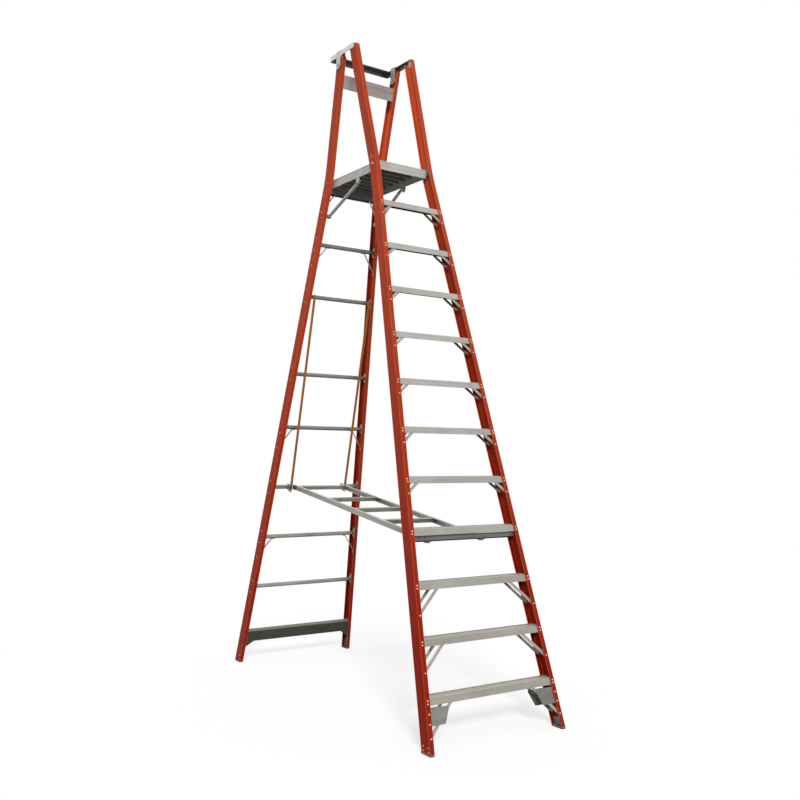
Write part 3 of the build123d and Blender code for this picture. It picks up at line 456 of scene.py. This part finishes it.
def fibreglass(name, tones, lean, contrast=0.5, channel=None, foot=None):
    """Pultruded fibreglass: long glass streaks under a satin resin skin.

    tones are its upper, lower and edge colours; the edge colour is a painted highlight along the
    corners and rubbed wear along them. channel is a point midway between the flanges and the way
    across them, for painted shade inside the channel below the platform and a painted light on
    the inner webs beside it. foot is the height up to which the end is dipped, and the dip's
    colour.
    """
    pale, deep, edge = tones
    material, tree, shader, place = new_material(name)
    rail = turned(tree, place, (lean, 0.0))
    lines = lined(tree, rail, 330.0, 0.012)
    edges = edge_masks(tree, rail, 0.0055, 30.0)
    use = handled(tree, place, 7.0, 0.35)
    height = upward(tree, place)
    base = blend(tree, spread(tree, height, *RAIL_PALES), deep, pale)
    darker = blend(tree, 1.0, base, opaque(0.62, 0.5, 0.45), "MULTIPLY")
    paler = blend(tree, 0.08, base, edge)
    skin = blend(tree, spread(tree, lines["Lines"], 0.38, 0.62), darker, paler)
    skin = blend(tree, contrast, base, skin)
    skin = blend(tree, spread(tree, lines["Bands"], 0.42, 0.6, 0.0, 0.3), skin, darker)
    skin = blend(tree, spread(tree, lines["Clouds"], 0.4, 0.65, 0.0, 0.22), skin, paler)
    # Painted highlight along the rounded corners, then rubbed wear along them
    skin = blend(tree, times(tree, edges["Edge"], 0.7), skin, edge)
    skin = blend(tree, times(tree, edges["Mask"], 0.35), skin, edge)
    skin = blend(tree, times(tree, use["Smudges"], 0.18), skin, darker)
    skin = blend(tree, times(tree, use["Dust"], 0.14), skin, opaque(0.2, 0.13, 0.1))
    if channel:
        # Painted shade inside the rail's channel below the platform, painted light on its inner
        # webs beside it
        above = spread(tree, height, *CHANNEL_SHADE_TO_LIGHT)
        channel_shade = times(tree, channel_insides(tree, place, *channel),
                       calc(tree, "SUBTRACT", 1.0, above))
        shaded_skin = blend(tree, 1.0, skin, opaque(0.58, 0.35, 0.32), "MULTIPLY")
        skin = blend(tree, channel_shade, skin, shaded_skin)
        inner_web = channel_insides(tree, place, (0, 0, 0), (1, 0, 0))
        lit_inner_web = times(tree, times(tree, inner_web, above), 0.7)
        skin = blend(tree, lit_inner_web, skin, opaque(0.95, 0.17, 0.07))
    if foot:
        top, dipped = foot
        skin = blend(tree, spread(tree, height, top, top + 15 * MM), dipped, skin)
    rough = calc(tree, "ADD", spread(tree, lines["Lines"], 0.3, 0.7, 0.3, 0.46),
                 times(tree, use["Scuffs"], 0.15), True)
    shader.inputs["Specular IOR Level"].default_value = 0.06
    finish(tree, shader, skin, rough, lines["Lines"], 0.0004, 0.35)
    return material


def metal(name, rough, tones=None, lie=ACROSS, metallic=0.5, grain=0.3, under=0.45, low=None,
          over=None, ring=None, channel=None, past_rungs=None):
    """Drawn or brushed metal, with its lines along a piece, bright edges and dull smudges.

    tones are its colour and its darker lines, under is how much painted shade darkens its
    underside, low its colour near the floor, and over the colour of a painted highlight on its
    upward faces. ring is a middle, a share and a tone of painted shade on faces that look inwards.
    channel is a point midway and the way across, for painted shade on what lies inside a rail.
    past_rungs is a length and a tone for what lies further than it from the rungs.
    """
    colour, dark = tones or METALS[name]
    material, tree, shader, place = new_material(name)
    along_piece = turned(tree, place, lie)
    lines = lined(tree, along_piece, 420.0, 0.018)
    edges = edge_masks(tree, along_piece, 0.0015, 50.0)
    use = handled(tree, place, 11.0, 0.25)
    if low:
        colour = blend(tree, spread(tree, upward(tree, place), *METAL_PALES), low, colour)
    bright = blend(tree, 0.35, colour, BRIGHT_METAL)
    skin = blend(tree, spread(tree, lines["Lines"], 0.34, 0.66, 0.0, grain + 0.25), colour, dark)
    skin = blend(tree, spread(tree, lines["Clouds"], 0.42, 0.62, 0.0, 0.25), skin, bright)
    skin = blend(tree, spread(tree, lines["Bands"], 0.45, 0.6, 0.0, grain), skin, dark)
    skin = blend(tree, times(tree, use["Smudges"], 0.28), skin, dark)
    skin = blend(tree, times(tree, edges["Mask"], 0.6), skin, bright)
    rise = upward(tree, facing(tree))
    # Painted highlight on faces that look up, towards the lighter over colour
    if over:
        lit_top_tone = blend(tree, spread(tree, lines["Lines"], 0.4, 0.6, 0.0, 0.35), over, skin)
        skin = blend(tree, spread(tree, rise, 0.5, 0.8), skin, lit_top_tone)
    # Painted shade on faces that look down
    skin = blend(tree, spread(tree, rise, -0.2, -0.8, 0.0, under), skin, UNDERSIDE_SHADE)
    if past_rungs:
        half, tone = past_rungs
        skin = blend(tree, past_every_rung(tree, place, half), skin, tone)
    if ring:
        # Painted shade on faces that look inwards, towards the middle
        middle, share, tone = ring
        skin = blend(tree, times(tree, inner_faces(tree, place, middle), share), skin, tone)
    if channel:
        # Painted shade on what lies inside a rail's channel
        inside = channel_insides(tree, place, *channel)
        skin = blend(tree, times(tree, inside, 0.9), skin, CHANNEL_SHADE)
    gloss = spread(tree, lines["Lines"], 0.3, 0.7, rough - 0.07, rough + 0.12)
    gloss = calc(tree, "ADD", gloss, times(tree, use["Smudges"], 0.12), True)
    shader.inputs["Metallic"].default_value = metallic
    finish(tree, shader, skin, gloss, lines["Lines"], 0.0002, 0.25)
    return material


def ribbed_deck():
    """Deck planks: bright grooved top, and an underside darkened by painted shade, paler along the
    ribs' lower edges.
    """
    material, tree, shader, place = new_material("deck aluminium")
    lines = lined(tree, turned(tree, place, ACROSS), 380.0, 0.02)
    use = handled(tree, place, 12.0, 0.1)
    top = blend(tree, spread(tree, lines["Lines"], 0.35, 0.65, 0.0, 0.5),
                opaque(0.5, 0.49, 0.46), opaque(0.27, 0.265, 0.25))
    scuffed = blend(tree, times(tree, use["Scuffs"], 0.4), top, opaque(0.7, 0.69, 0.66))
    # Painted shade on the underside, paler along the ribs' lower edges
    shaded_underside = blend(tree, spread(tree, lines["Bands"], 0.4, 0.62),
                 opaque(0.112, 0.116, 0.088), opaque(0.16, 0.165, 0.127))
    height = upward(tree, place)
    low, high = [corner[2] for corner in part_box("platform_deck")]
    rib_edge = spread(tree, height, low + 10 * MM, low + 5 * MM)
    ribbed = blend(tree, rib_edge, shaded_underside, opaque(0.24, 0.235, 0.19))
    above = spread(tree, height, high - 5 * MM, high - 3 * MM)
    skin = blend(tree, above, ribbed, scuffed)
    gloss = spread(tree, lines["Lines"], 0.3, 0.7, 0.36, 0.54)
    shader.inputs["Metallic"].default_value = 0.4
    finish(tree, shader, skin, gloss, lines["Lines"], 0.0002, 0.25)
    return material


def painted(name, colour, worn_to, top):
    """Satin paint on metal, rubbed through along its edges and paler in a band below its top, with
    a painted highlight on its upward faces.
    """
    material, tree, shader, place = new_material(name)
    lines = lined(tree, turned(tree, place, ACROSS), 150.0, 0.05)
    edges = edge_masks(tree, place, 0.0022, 24.0)
    use = handled(tree, place, 13.0, 0.5)
    paler = blend(tree, 0.2, colour, worn_to)
    skin = blend(tree, spread(tree, lines["Clouds"], 0.38, 0.66), colour, paler)
    skin = blend(tree, spread(tree, lines["Lines"], 0.4, 0.7, 0.0, 0.3), skin, worn_to)
    skin = blend(tree, times(tree, use["Smudges"], 0.4), skin, paler)
    skin = blend(tree, times(tree, use["Dust"], 0.12), skin, opaque(0.33, 0.31, 0.28))
    skin = blend(tree, edges["Mask"], skin, worn_to)
    rise = upward(tree, facing(tree))
    # Painted highlight on faces that look up
    skin = blend(tree, spread(tree, rise, 0.5, 0.9, 0.0, 0.9), skin, opaque(0.1, 0.105, 0.08))
    band = spread(tree, upward(tree, place), top - 17 * MM, top - 12 * MM)
    skin = blend(tree, band, skin, opaque(0.22, 0.224, 0.175))
    gloss = spread(tree, use["Smudges"], 0.0, 1.0, 0.5, 0.66)
    shader.inputs["Specular IOR Level"].default_value = 0.2
    finish(tree, shader, skin, gloss, lines["Clouds"], 0.0006, 0.2)
    return material


def moulded(name, colour, rough):
    """Moulded rubber or plastic with fine pores and grey scuffs."""
    material, tree, shader, place = new_material(name)
    use = handled(tree, place, 22.0, 0.06)
    edges = edge_masks(tree, place, 0.002, 60.0)
    pores = noise(tree, place, 900.0, 3.0, 0.6)
    paler = blend(tree, 0.25, colour, opaque(0.4, 0.38, 0.35))
    skin = blend(tree, times(tree, use["Scuffs"], 0.5), colour, paler)
    skin = blend(tree, times(tree, use["Dust"], 0.6), skin, opaque(0.24, 0.21, 0.18))
    skin = blend(tree, times(tree, edges["Mask"], 0.6), skin, paler)
    gloss = spread(tree, pores, 0.3, 0.7, rough - 0.1, rough + 0.1)
    shader.inputs["Specular IOR Level"].default_value = 0.3
    finish(tree, shader, skin, gloss, pores, 0.0003, 0.4)
    return material


def dress(material, *nodes):
    """Give CAD nodes a finish."""
    for name in nodes:
        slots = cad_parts[name].data.materials
        slots.clear()
        slots.append(material)


# ---------------------------------------------------------------- rivets
def rivet_tree():
    """Heads set on points, each facing the way that its point's attribute says."""
    tree, enter, leave = new_group(
        "rivet heads",
        [("Geometry", "NodeSocketGeometry", None), ("Radius", "NodeSocketFloat", 0.0045),
         ("Height", "NodeSocketFloat", 0.0022), ("Sides", "NodeSocketInt", 10),
         ("Rings", "NodeSocketInt", 6), ("Finish", "NodeSocketMaterial", None)],
        [("Geometry", "NodeSocketGeometry")], "GeometryNodeTree")
    dome = add_node(tree, "GeometryNodeMeshUVSphere",
                    {"Segments": enter["Sides"], "Rings": enter["Rings"], "Radius": 1.0})
    size = add_node(tree, "ShaderNodeCombineXYZ", {0: enter["Radius"], 1: enter["Radius"],
                                                   2: enter["Height"]})
    head = add_node(tree, "GeometryNodeTransform", {"Geometry": dome.outputs["Mesh"],
                                                    "Scale": size.outputs[0]})
    outward = add_node(tree, "GeometryNodeInputNamedAttribute", {"Name": "facing"},
                       data_type="FLOAT_VECTOR")
    turn = add_node(tree, "FunctionNodeAlignRotationToVector",
                    {"Vector": outward.outputs["Attribute"]}, axis="Z")
    scatter = add_node(tree, "GeometryNodeInstanceOnPoints",
                       {"Points": enter["Geometry"], "Instance": head.outputs["Geometry"],
                        "Rotation": turn.outputs["Rotation"]})
    real = add_node(tree, "GeometryNodeRealizeInstances",
                    {"Geometry": scatter.outputs["Instances"]})
    smooth = add_node(tree, "GeometryNodeSetShadeSmooth", {"Geometry": real.outputs["Geometry"]})
    finished = add_node(tree, "GeometryNodeSetMaterial", {"Geometry": smooth.outputs["Geometry"],
                                                          "Material": enter["Finish"]})
    tree.links.new(finished.outputs["Geometry"], leave["Geometry"])


def add_object(name, data):
    """New object in the scene, at the origin."""
    added = bpy.data.objects.new(name, data)
    bpy.context.scene.collection.objects.link(added)
    return added


def set_heads(name, body, spots, material, radius, height, slot, sides=10):
    """One plain mesh of heads for one body, from (point, outward direction) pairs."""
    points = bpy.data.meshes.new(name + "_points")
    points.from_pydata([tuple(point) for point, _ in spots], [], [])
    outward = points.attributes.new("facing", "FLOAT_VECTOR", "POINT")
    outward.data.foreach_set("vector", [part for _, out in spots for part in out.normalized()])
    maker = add_object(name + "_maker", points)
    tree = bpy.data.node_groups["rivet heads"]
    modifier = maker.modifiers.new("heads", "NODES")
    modifier.node_group = tree
    wanted = {"Radius": radius, "Height": height, "Sides": sides, "Finish": material}
    for item in tree.interface.items_tree:
        if item.in_out == "INPUT" and item.name in wanted:
            modifier[item.identifier] = wanted[item.name]
    maker.update_tag()
    graph = bpy.context.evaluated_depsgraph_get()
    mesh = bpy.data.meshes.new_from_object(maker.evaluated_get(graph))
    maker.modifiers.clear()
    bpy.data.objects.remove(maker)
    bpy.data.meshes.remove(points)
    if not mesh.polygons:
        raise RuntimeError(name + " has no heads")
    if not mesh.materials:
        mesh.materials.append(material)
    piece = add_object(name, mesh)
    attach(piece, body)


# ---------------------------------------------------------------- settings
def colour_setting(name, description, default):
    """Colour property."""
    return bpy.props.FloatVectorProperty(name=name, description=description, subtype="COLOR",
                                         size=4, min=0.0, max=1.0, default=opaque(*default))


def length_setting(name, description, default):
    """Length property."""
    return bpy.props.FloatProperty(name=name, description=description, unit="LENGTH",
                                   min=0.0, default=default)


class LadderColours(bpy.types.PropertyGroup):
    """Colours of the ladder's finishes"""
    rail_pale: colour_setting("Rail, upper", "Fibreglass near the top", (0.53, 0.064, 0.021))
    rail_deep: colour_setting("Rail, lower", "Fibreglass near the floor", (0.31, 0.009, 0.001))
    # The rail edge colour is a painted highlight along the corners, and rubbed wear along them
    rail_edge: colour_setting("Rail edge", "Fibreglass along its rubbed corners",
                              (0.85, 0.2, 0.07))
    guide: colour_setting("Guide bar", "Solid fibreglass guide bars", (0.42, 0.155, 0.03))
    silver: colour_setting("Aluminium", "Mill finish of the treads", (0.47, 0.46, 0.42))
    shade: colour_setting("Aluminium lines", "Darker die lines in treads and spreader",
                          (0.25, 0.24, 0.215))
    zinc: colour_setting("Zinc plate", "Pivot plates, clevises and guide fittings",
                         (0.27, 0.265, 0.25))
    olive: colour_setting("Base paint", "Channel across the rear feet", (0.018, 0.022, 0.01))
    panel: colour_setting("Back panel", "Panel below the guard", (0.47, 0.415, 0.38))
    # The rivet colour's peach tone is a painted reflection of the orange rails in aluminium heads
    rivet: colour_setting("Rivet", "Rivet heads on the front rails", (0.9, 0.56, 0.4))


class LadderSizes(bpy.types.PropertyGroup):
    """Sizes of the ladder's small fasteners"""
    rivet_radius: length_setting("Rivet radius", "Radius of a rail rivet's head", 0.0056)
    rivet_height: length_setting("Rivet height", "How far a rivet's head stands out", 0.0028)
    rivet_gap: length_setting("Rivet gap", "Half distance between the two rivets of a step",
                              0.0085)
    rivet_inset: length_setting("Rivet inset", "Rivets inward of the rail's outer face", 0.013)
    bolt_radius: length_setting("Bolt radius", "Radius of a carrier bolt's head", 0.0062)


def colours():
    """The scene's ladder colours."""
    return bpy.context.scene.ladder_colours


def sizes():
    """The scene's ladder sizes."""
    return bpy.context.scene.ladder_sizes


# ---------------------------------------------------------------- operators
class LADDER_OT_effects(bpy.types.Operator):
    """Build the shared wear and grain effects and the rivet tree"""
    bl_idname = "ladder.effects"
    bl_label = "Shared effects"

    def execute(self, context):
        drawn_lines()
        edge_wear_and_highlight()
        handling()
        rivet_tree()
        return {"FINISHED"}


class LADDER_OT_rails(bpy.types.Operator):
    """Finish the four fibreglass rails"""
    bl_idname = "ladder.rails"
    bl_label = "Rails"

    def execute(self, context):
        tones = (colours().rail_pale, colours().rail_deep, colours().rail_edge)
        dress(fibreglass("front rail fibreglass", tones, FRONT_LEAN, channel=FRONT_CHANNEL),
              "front_rail_left", "front_rail_right")
        dress(fibreglass("rear rail fibreglass", tones, -REAR_LEAN, channel=REAR_CHANNEL),
              "rear_rail_left", "rear_rail_right")
        return {"FINISHED"}


class LADDER_OT_guides(bpy.types.Operator):
    """Finish the solid guide bars, their saddles and hooks"""
    bl_idname = "ladder.guides"
    bl_label = "Guide bars"

    def execute(self, context):
        tone = colours().guide
        deep = opaque(tone[0] * 0.7, tone[1] * 0.6, tone[2] * 0.5)
        dip_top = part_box("guide_bar_left")[0][2] + 28 * MM
        dress(fibreglass("guide bar fibreglass", (tone, deep, opaque(0.6, 0.3, 0.1)), -REAR_LEAN,
                         contrast=0.15, foot=(dip_top, opaque(0.09, 0.1, 0.075))),
              "guide_bar_left", "guide_bar_right")
        dress(metal("guide fittings", 0.4, (colours().zinc, ZINC_LINES)),
              "guide_saddles", "guide_hooks")
        return {"FINISHED"}


class LADDER_OT_treads(bpy.types.Operator):
    """Finish the eleven extruded steps"""
    bl_idname = "ladder.treads"
    bl_label = "Treads"

    def execute(self, context):
        # Treads: painted highlight on their tops, painted shade underneath and on their ends
        # inside the rails
        dress(metal("tread aluminium", 0.4, (colours().silver, colours().shade), grain=0.12,
                    under=0.85, low=opaque(0.34, 0.315, 0.27), over=opaque(0.78, 0.76, 0.63),
                    channel=FRONT_CHANNEL), *STEPS)
        return {"FINISHED"}


class LADDER_OT_rungs(bpy.types.Operator):
    """Finish the rungs and their end plates"""
    bl_idname = "ladder.rungs"
    bl_label = "Rungs"

    def execute(self, context):
        # Rungs: painted highlight on their tops, painted shade underneath
        dress(metal("rung aluminium", 0.3, under=0.8, low=opaque(0.42, 0.415, 0.335),
                    over=opaque(0.42, 0.4, 0.35)), *RUNGS)
        dress(metal("rung end zinc", 0.42, past_rungs=(33 * MM, opaque(0.2, 0.012, 0.004))),
              "rung_brackets")
        return {"FINISHED"}


class LADDER_OT_braces(bpy.types.Operator):
    """Finish the step braces, rung braces and foot gussets"""
    bl_idname = "ladder.braces"
    bl_label = "Braces"

    def execute(self, context):
        dress(metal("brace aluminium", 0.42, lie=ALONG_BRACE),
              "short_step_braces", "long_step_braces", "rung_braces")
        dress(metal("gusset aluminium", 0.45), "foot_gussets")
        return {"FINISHED"}


class LADDER_OT_guard(bpy.types.Operator):
    """Finish the guard rail, its straps, the back panel and the clip"""
    bl_idname = "ladder.guard"
    bl_label = "Guard"

    def execute(self, context):
        # Painted shade on the guard's inward faces and its underside
        inside = (middle_of("guard_rail"), 0.88, opaque(0.07, 0.07, 0.065))
        dress(metal("guard aluminium", 0.36, under=0.9, ring=inside), "guard_rail")
        dress(metal("strap aluminium", 0.4), "guard_straps")
        dress(metal("back panel metal", 0.5, (colours().panel, opaque(0.2, 0.18, 0.17))),
              "back_panel")
        dress(metal("clip brass", 0.35), "panel_clip")
        return {"FINISHED"}


class LADDER_OT_platform(bpy.types.Operator):
    """Finish the platform, its rest and its struts"""
    bl_idname = "ladder.platform"
    bl_label = "Platform"

    def execute(self, context):
        dress(metal("platform frame aluminium", 0.42), "platform_frame")
        dress(metal("platform rest aluminium", 0.5), "platform_rest")
        dress(ribbed_deck(), "platform_deck")
        # Struts: painted highlight on their tops, painted shade underneath
        dress(metal("strut steel", 0.34, lie=ALONG_STRUT, under=0.6,
                    over=opaque(0.72, 0.71, 0.67)), "strut_left", "strut_right")
        return {"FINISHED"}


class LADDER_OT_spreader(bpy.types.Operator):
    """Finish the folding spreader and its carrier"""
    bl_idname = "ladder.spreader"
    bl_label = "Spreader"

    def execute(self, context):
        # Spreader sides: painted highlight on their tops, painted shade underneath
        dress(metal("spreader aluminium", 0.38, (opaque(0.4, 0.395, 0.37), colours().shade),
                    lie=ALONG_SPREADER, under=0.7, over=opaque(0.7, 0.69, 0.65)),
              "spreader_side_left", "spreader_side_right")
        # Crosses: painted highlight on their tops
        dress(metal("cross aluminium", 0.38, over=opaque(0.5, 0.49, 0.44)), "spreader_crosses")
        dress(metal("carrier aluminium", 0.45), "spreader_carrier")
        dress(moulded("slipper plastic", opaque(0.07, 0.068, 0.06), 0.5), "spreader_slippers")
        return {"FINISHED"}


class LADDER_OT_hinges(bpy.types.Operator):
    """Finish the brackets, clevises, pins and bolts"""
    bl_idname = "ladder.hinges"
    bl_label = "Hinges"

    def execute(self, context):
        dress(metal("bracket zinc", 0.4, (colours().zinc, ZINC_LINES), lie=UPRIGHT),
              "pivot_plates", "strut_clevises")
        # Painted shade on the hinge brackets' inward faces
        inside = (middle_of("guard_rail"), 0.7, opaque(0.27, 0.275, 0.23))
        dress(metal("bracket aluminium", 0.4, lie=UPRIGHT, ring=inside),
              "hinge_bracket_left", "hinge_bracket_right")
        dress(metal("bolt zinc", 0.3), "hinge_bolts", "pivot_bolts", "strut_pins")
        dress(metal("pin steel", 0.4), "spreader_pins")
        return {"FINISHED"}


class LADDER_OT_base(bpy.types.Operator):
    """Finish the painted channel across the rear feet"""
    bl_idname = "ladder.base"
    bl_label = "Base channel"

    def execute(self, context):
        dress(painted("base channel paint", colours().olive, opaque(0.13, 0.14, 0.11),
                      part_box("base_channel")[1][2]), "base_channel", "base_gussets")
        return {"FINISHED"}


class LADDER_OT_feet(bpy.types.Operator):
    """Finish the shoes and rubber pads"""
    bl_idname = "ladder.feet"
    bl_label = "Feet"

    def execute(self, context):
        dress(moulded("foot rubber", opaque(0.022, 0.021, 0.02), 0.75), "front_pads", "rear_pads")
        dress(metal("shoe zinc", 0.5), "front_shoes")
        dress(metal("rear shoe zinc", 0.5), "rear_shoes")
        return {"FINISHED"}


def flange_rivets(number, line):
    """One step's rivets on a flange: lengths up the rail and in from its outer face."""
    gap, inset = sizes().rivet_gap, sizes().rivet_inset
    lower = ()
    if number == 0:
        lower = (line - GUSSET_DROP, *GUSSET_UPS)
    elif number < CARRIER_STEP:
        lower = (line - LONG_DROP,)
    elif number > CARRIER_STEP:
        lower = (line - SHORT_DROP,)
    return [(line - gap, inset), (line + gap, inset), *((up, BRACE_INSET) for up in lower)]


class LADDER_OT_front_rivets(bpy.types.Operator):
    """Set the rivets of the climbing section's rails"""
    bl_idname = "ladder.front_rivets"
    bl_label = "Front rivets"

    def execute(self, context):
        spots = []
        for side in SIDES:
            for number, line in enumerate(STEP_UPS):
                for up, inset in flange_rivets(number, line):
                    for rise, inward, out in FLANGES:
                        x = side * (front_half(up + rise) - inset)
                        spots.append((front_point(up + rise, inward, x), out))
            for inward, up in FRONT_WEB:
                x = side * front_half(up * MM)
                spots.append((front_point(up * MM, inward * MM, x), Vector((side, 0, 0))))
        material = metal("front rivet metal", 0.34, (colours().rivet, opaque(0.6, 0.3, 0.2)),
                         metallic=0.2)
        set_heads("front_rail_rivets", "front_section", spots, material, sizes().rivet_radius,
                  sizes().rivet_height, "aluminium")
        return {"FINISHED"}


class LADDER_OT_tread_rivets(bpy.types.Operator):
    """Set the rivets that hold the braces to the treads, and the carrier's bolts"""
    bl_idname = "ladder.tread_rivets"
    bl_label = "Tread rivets"

    def execute(self, context):
        heads = []
        bolts = []
        for side in SIDES:
            for number, line in enumerate(STEP_UPS):
                if number == CARRIER_STEP:
                    continue
                reach = LONG_REACH[number] if number < len(LONG_REACH) else SHORT_REACH
                x = side * (front_half(line) - reach)
                up = line - BRACE_SINK
                heads.append((front_point(up, WALL, x), FRONT_OUT))
                heads.append((front_point(up + BACK_RISE, FRONT_DEPTH - WALL, x), -FRONT_OUT))
            out, inward, down = CARRIER_BOLT
            bolts.append((front_point(STEP_UPS[CARRIER_STEP] - down, inward, side * out),
                          FRONT_OUT))
        set_heads("tread_rivets", "front_section", heads, metal("brace rivet metal", 0.4),
                  *BRACE_HEAD, "aluminium")
        set_heads("carrier_bolts", "front_section", bolts, metal("carrier bolt metal", 0.4),
                  sizes().bolt_radius, BOLT_HEIGHT, "steel", BOLT_SIDES)
        return {"FINISHED"}


class LADDER_OT_rear_rivets(bpy.types.Operator):
    """Set the rivets of the rear section's rails"""
    bl_idname = "ladder.rear_rivets"
    bl_label = "Rear rivets"

    def execute(self, context):
        web = [(inward * MM, up * MM) for inward, up in REAR_WEB]
        for line in RUNG_UPS:
            web += [(REAR_DEPTH / 2, line - PLATE_RIVET), (REAR_DEPTH / 2, line + PLATE_RIVET)]
        for number in BRACED_RUNGS:
            web.append((REAR_DEPTH / 2, RUNG_UPS[number] - RUNG_BRACE_DROP))
        spots = [(rear_point(up, inward, side * rear_half(up)), Vector((side, 0, 0)))
                 for side in SIDES for inward, up in web]
        set_heads("rear_rail_rivets", "rear_section", spots,
                  metal("rear rivet metal", 0.34, metallic=0.1), sizes().rivet_radius,
                  sizes().rivet_height, "aluminium")
        return {"FINISHED"}


# ---------------------------------------------------------------- stage
def seen_directly(tree):
    """Socket that is 1 for camera, glossy and transmission rays."""
    path = add_node(tree, "ShaderNodeLightPath").outputs
    first = calc(tree, "MAXIMUM", path["Is Camera Ray"], path["Is Glossy Ray"])
    return calc(tree, "MAXIMUM", first, path["Is Transmission Ray"])


def floor_paper(reach):
    """White paper that takes a soft shadow near the ladder and turns plain white beyond it."""
    material = bpy.data.materials.new("floor paper")
    material.use_nodes = True
    tree = material.node_tree
    tree.nodes.remove(tree.nodes["Principled BSDF"])
    place = add_node(tree, "ShaderNodeTexCoord").outputs["Object"]
    away = add_node(tree, "ShaderNodeVectorMath", {0: place}, operation="LENGTH").outputs["Value"]
    seen = seen_directly(tree)
    paper = add_node(tree, "ShaderNodeBsdfDiffuse", {"Color": opaque(0.5, 0.5, 0.5)})
    lift = add_node(tree, "ShaderNodeEmission", {"Color": WHITE})
    tree.links.new(times(tree, seen, FLOOR_LIFT), lift.inputs["Strength"])
    near = add_node(tree, "ShaderNodeAddShader", {0: paper.outputs[0], 1: lift.outputs[0]})
    far = add_node(tree, "ShaderNodeEmission", {"Color": WHITE, "Strength": 1.0})
    share = times(tree, seen, spread(tree, away, reach * 0.8, reach * 2.2))
    mix = add_node(tree, "ShaderNodeMixShader", {0: share, 1: near.outputs[0], 2: far.outputs[0]})
    tree.links.new(mix.outputs[0], tree.nodes["Material Output"].inputs["Surface"])
    return material


class LADDER_OT_stage(bpy.types.Operator):
    """Place the floor, the light and the camera"""
    bl_idname = "ladder.stage"
    bl_label = "Stage"

    def execute(self, context):
        scene = context.scene
        scene.view_settings.view_transform = "Standard"

        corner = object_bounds()[1]      # taken before the floor is there
        sheet = bpy.data.meshes.new("floor")
        sheet.from_pydata([(x * FLOOR_REACH, y * FLOOR_REACH, 0)
                           for x, y in ((-1, -1), (1, -1), (1, 1), (-1, 1))], [], [(0, 1, 2, 3)])
        sheet.materials.append(floor_paper(hypot(corner[0], corner[1])))
        add_object("floor", sheet)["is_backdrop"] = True

        world = bpy.data.worlds.new("studio")
        scene.world = world
        world.use_nodes = True
        tree = world.node_tree
        sky = tree.nodes["Background"]
        sky.inputs["Color"].default_value = WHITE
        tree.links.new(spread(tree, seen_directly(tree), 0.0, 1.0, SKY_LIGHT, 1.0),
                       sky.inputs["Strength"])
        sun = bpy.data.lights.new("key", "SUN")
        sun.energy = LAMP_STRENGTH
        sun.angle = LAMP_SPREAD
        key = add_object("key", sun)
        key.rotation_euler = Vector(LAMP_FROM).to_track_quat("Z", "Y").to_euler()

        lens = bpy.data.cameras.new("camera")
        lens.lens = LENS
        lens.sensor_width = 36
        lens.shift_y = LENS_RISE
        lens.clip_end = 100
        camera = add_object("camera", lens)
        turn = Euler((pi / 2 + CAMERA_PITCH, 0, CAMERA_HEADING)).to_matrix()
        turn = turn @ Matrix.Rotation(CAMERA_ROLL, 3, "Z")
        camera.matrix_world = Matrix.Translation(CAMERA_PLACE) @ turn.to_4x4()
        scene.camera = camera
        return {"FINISHED"}


OPERATORS = (LADDER_OT_effects, LADDER_OT_rails, LADDER_OT_guides, LADDER_OT_treads,
             LADDER_OT_rungs, LADDER_OT_braces, LADDER_OT_guard, LADDER_OT_platform,
             LADDER_OT_spreader, LADDER_OT_hinges, LADDER_OT_base, LADDER_OT_feet,
             LADDER_OT_front_rivets, LADDER_OT_tread_rivets, LADDER_OT_rear_rivets,
             LADDER_OT_stage)


class LADDER_PT_panel(bpy.types.Panel):
    """Lists the ladder's settings and operators"""
    bl_idname = "LADDER_PT_panel"
    bl_label = "Platform step ladder"
    bl_space_type = "VIEW_3D"
    bl_region_type = "UI"
    bl_category = "Ladder"

    def draw(self, context):
        for settings in (context.scene.ladder_sizes, context.scene.ladder_colours):
            for name in settings.__annotations__:
                self.layout.prop(settings, name)
        for operator in OPERATORS:
            self.layout.operator(operator.bl_idname)


CLASSES = (LadderColours, LadderSizes, *OPERATORS, LADDER_PT_panel)


def register():
    """Add the ladder's classes and settings."""
    for item in CLASSES:
        bpy.utils.register_class(item)
    bpy.types.Scene.ladder_colours = bpy.props.PointerProperty(type=LadderColours)
    bpy.types.Scene.ladder_sizes = bpy.props.PointerProperty(type=LadderSizes)


def unregister():
    """Remove the ladder's classes and settings."""
    del bpy.types.Scene.ladder_sizes
    del bpy.types.Scene.ladder_colours
    for item in reversed(CLASSES):
        bpy.utils.unregister_class(item)


def main():
    """Dress the whole ladder."""
    register()
    for operator in OPERATORS:
        family, name = operator.bl_idname.split(".")
        getattr(getattr(bpy.ops, family), name)()


if __name__ == "__main__":
    main()
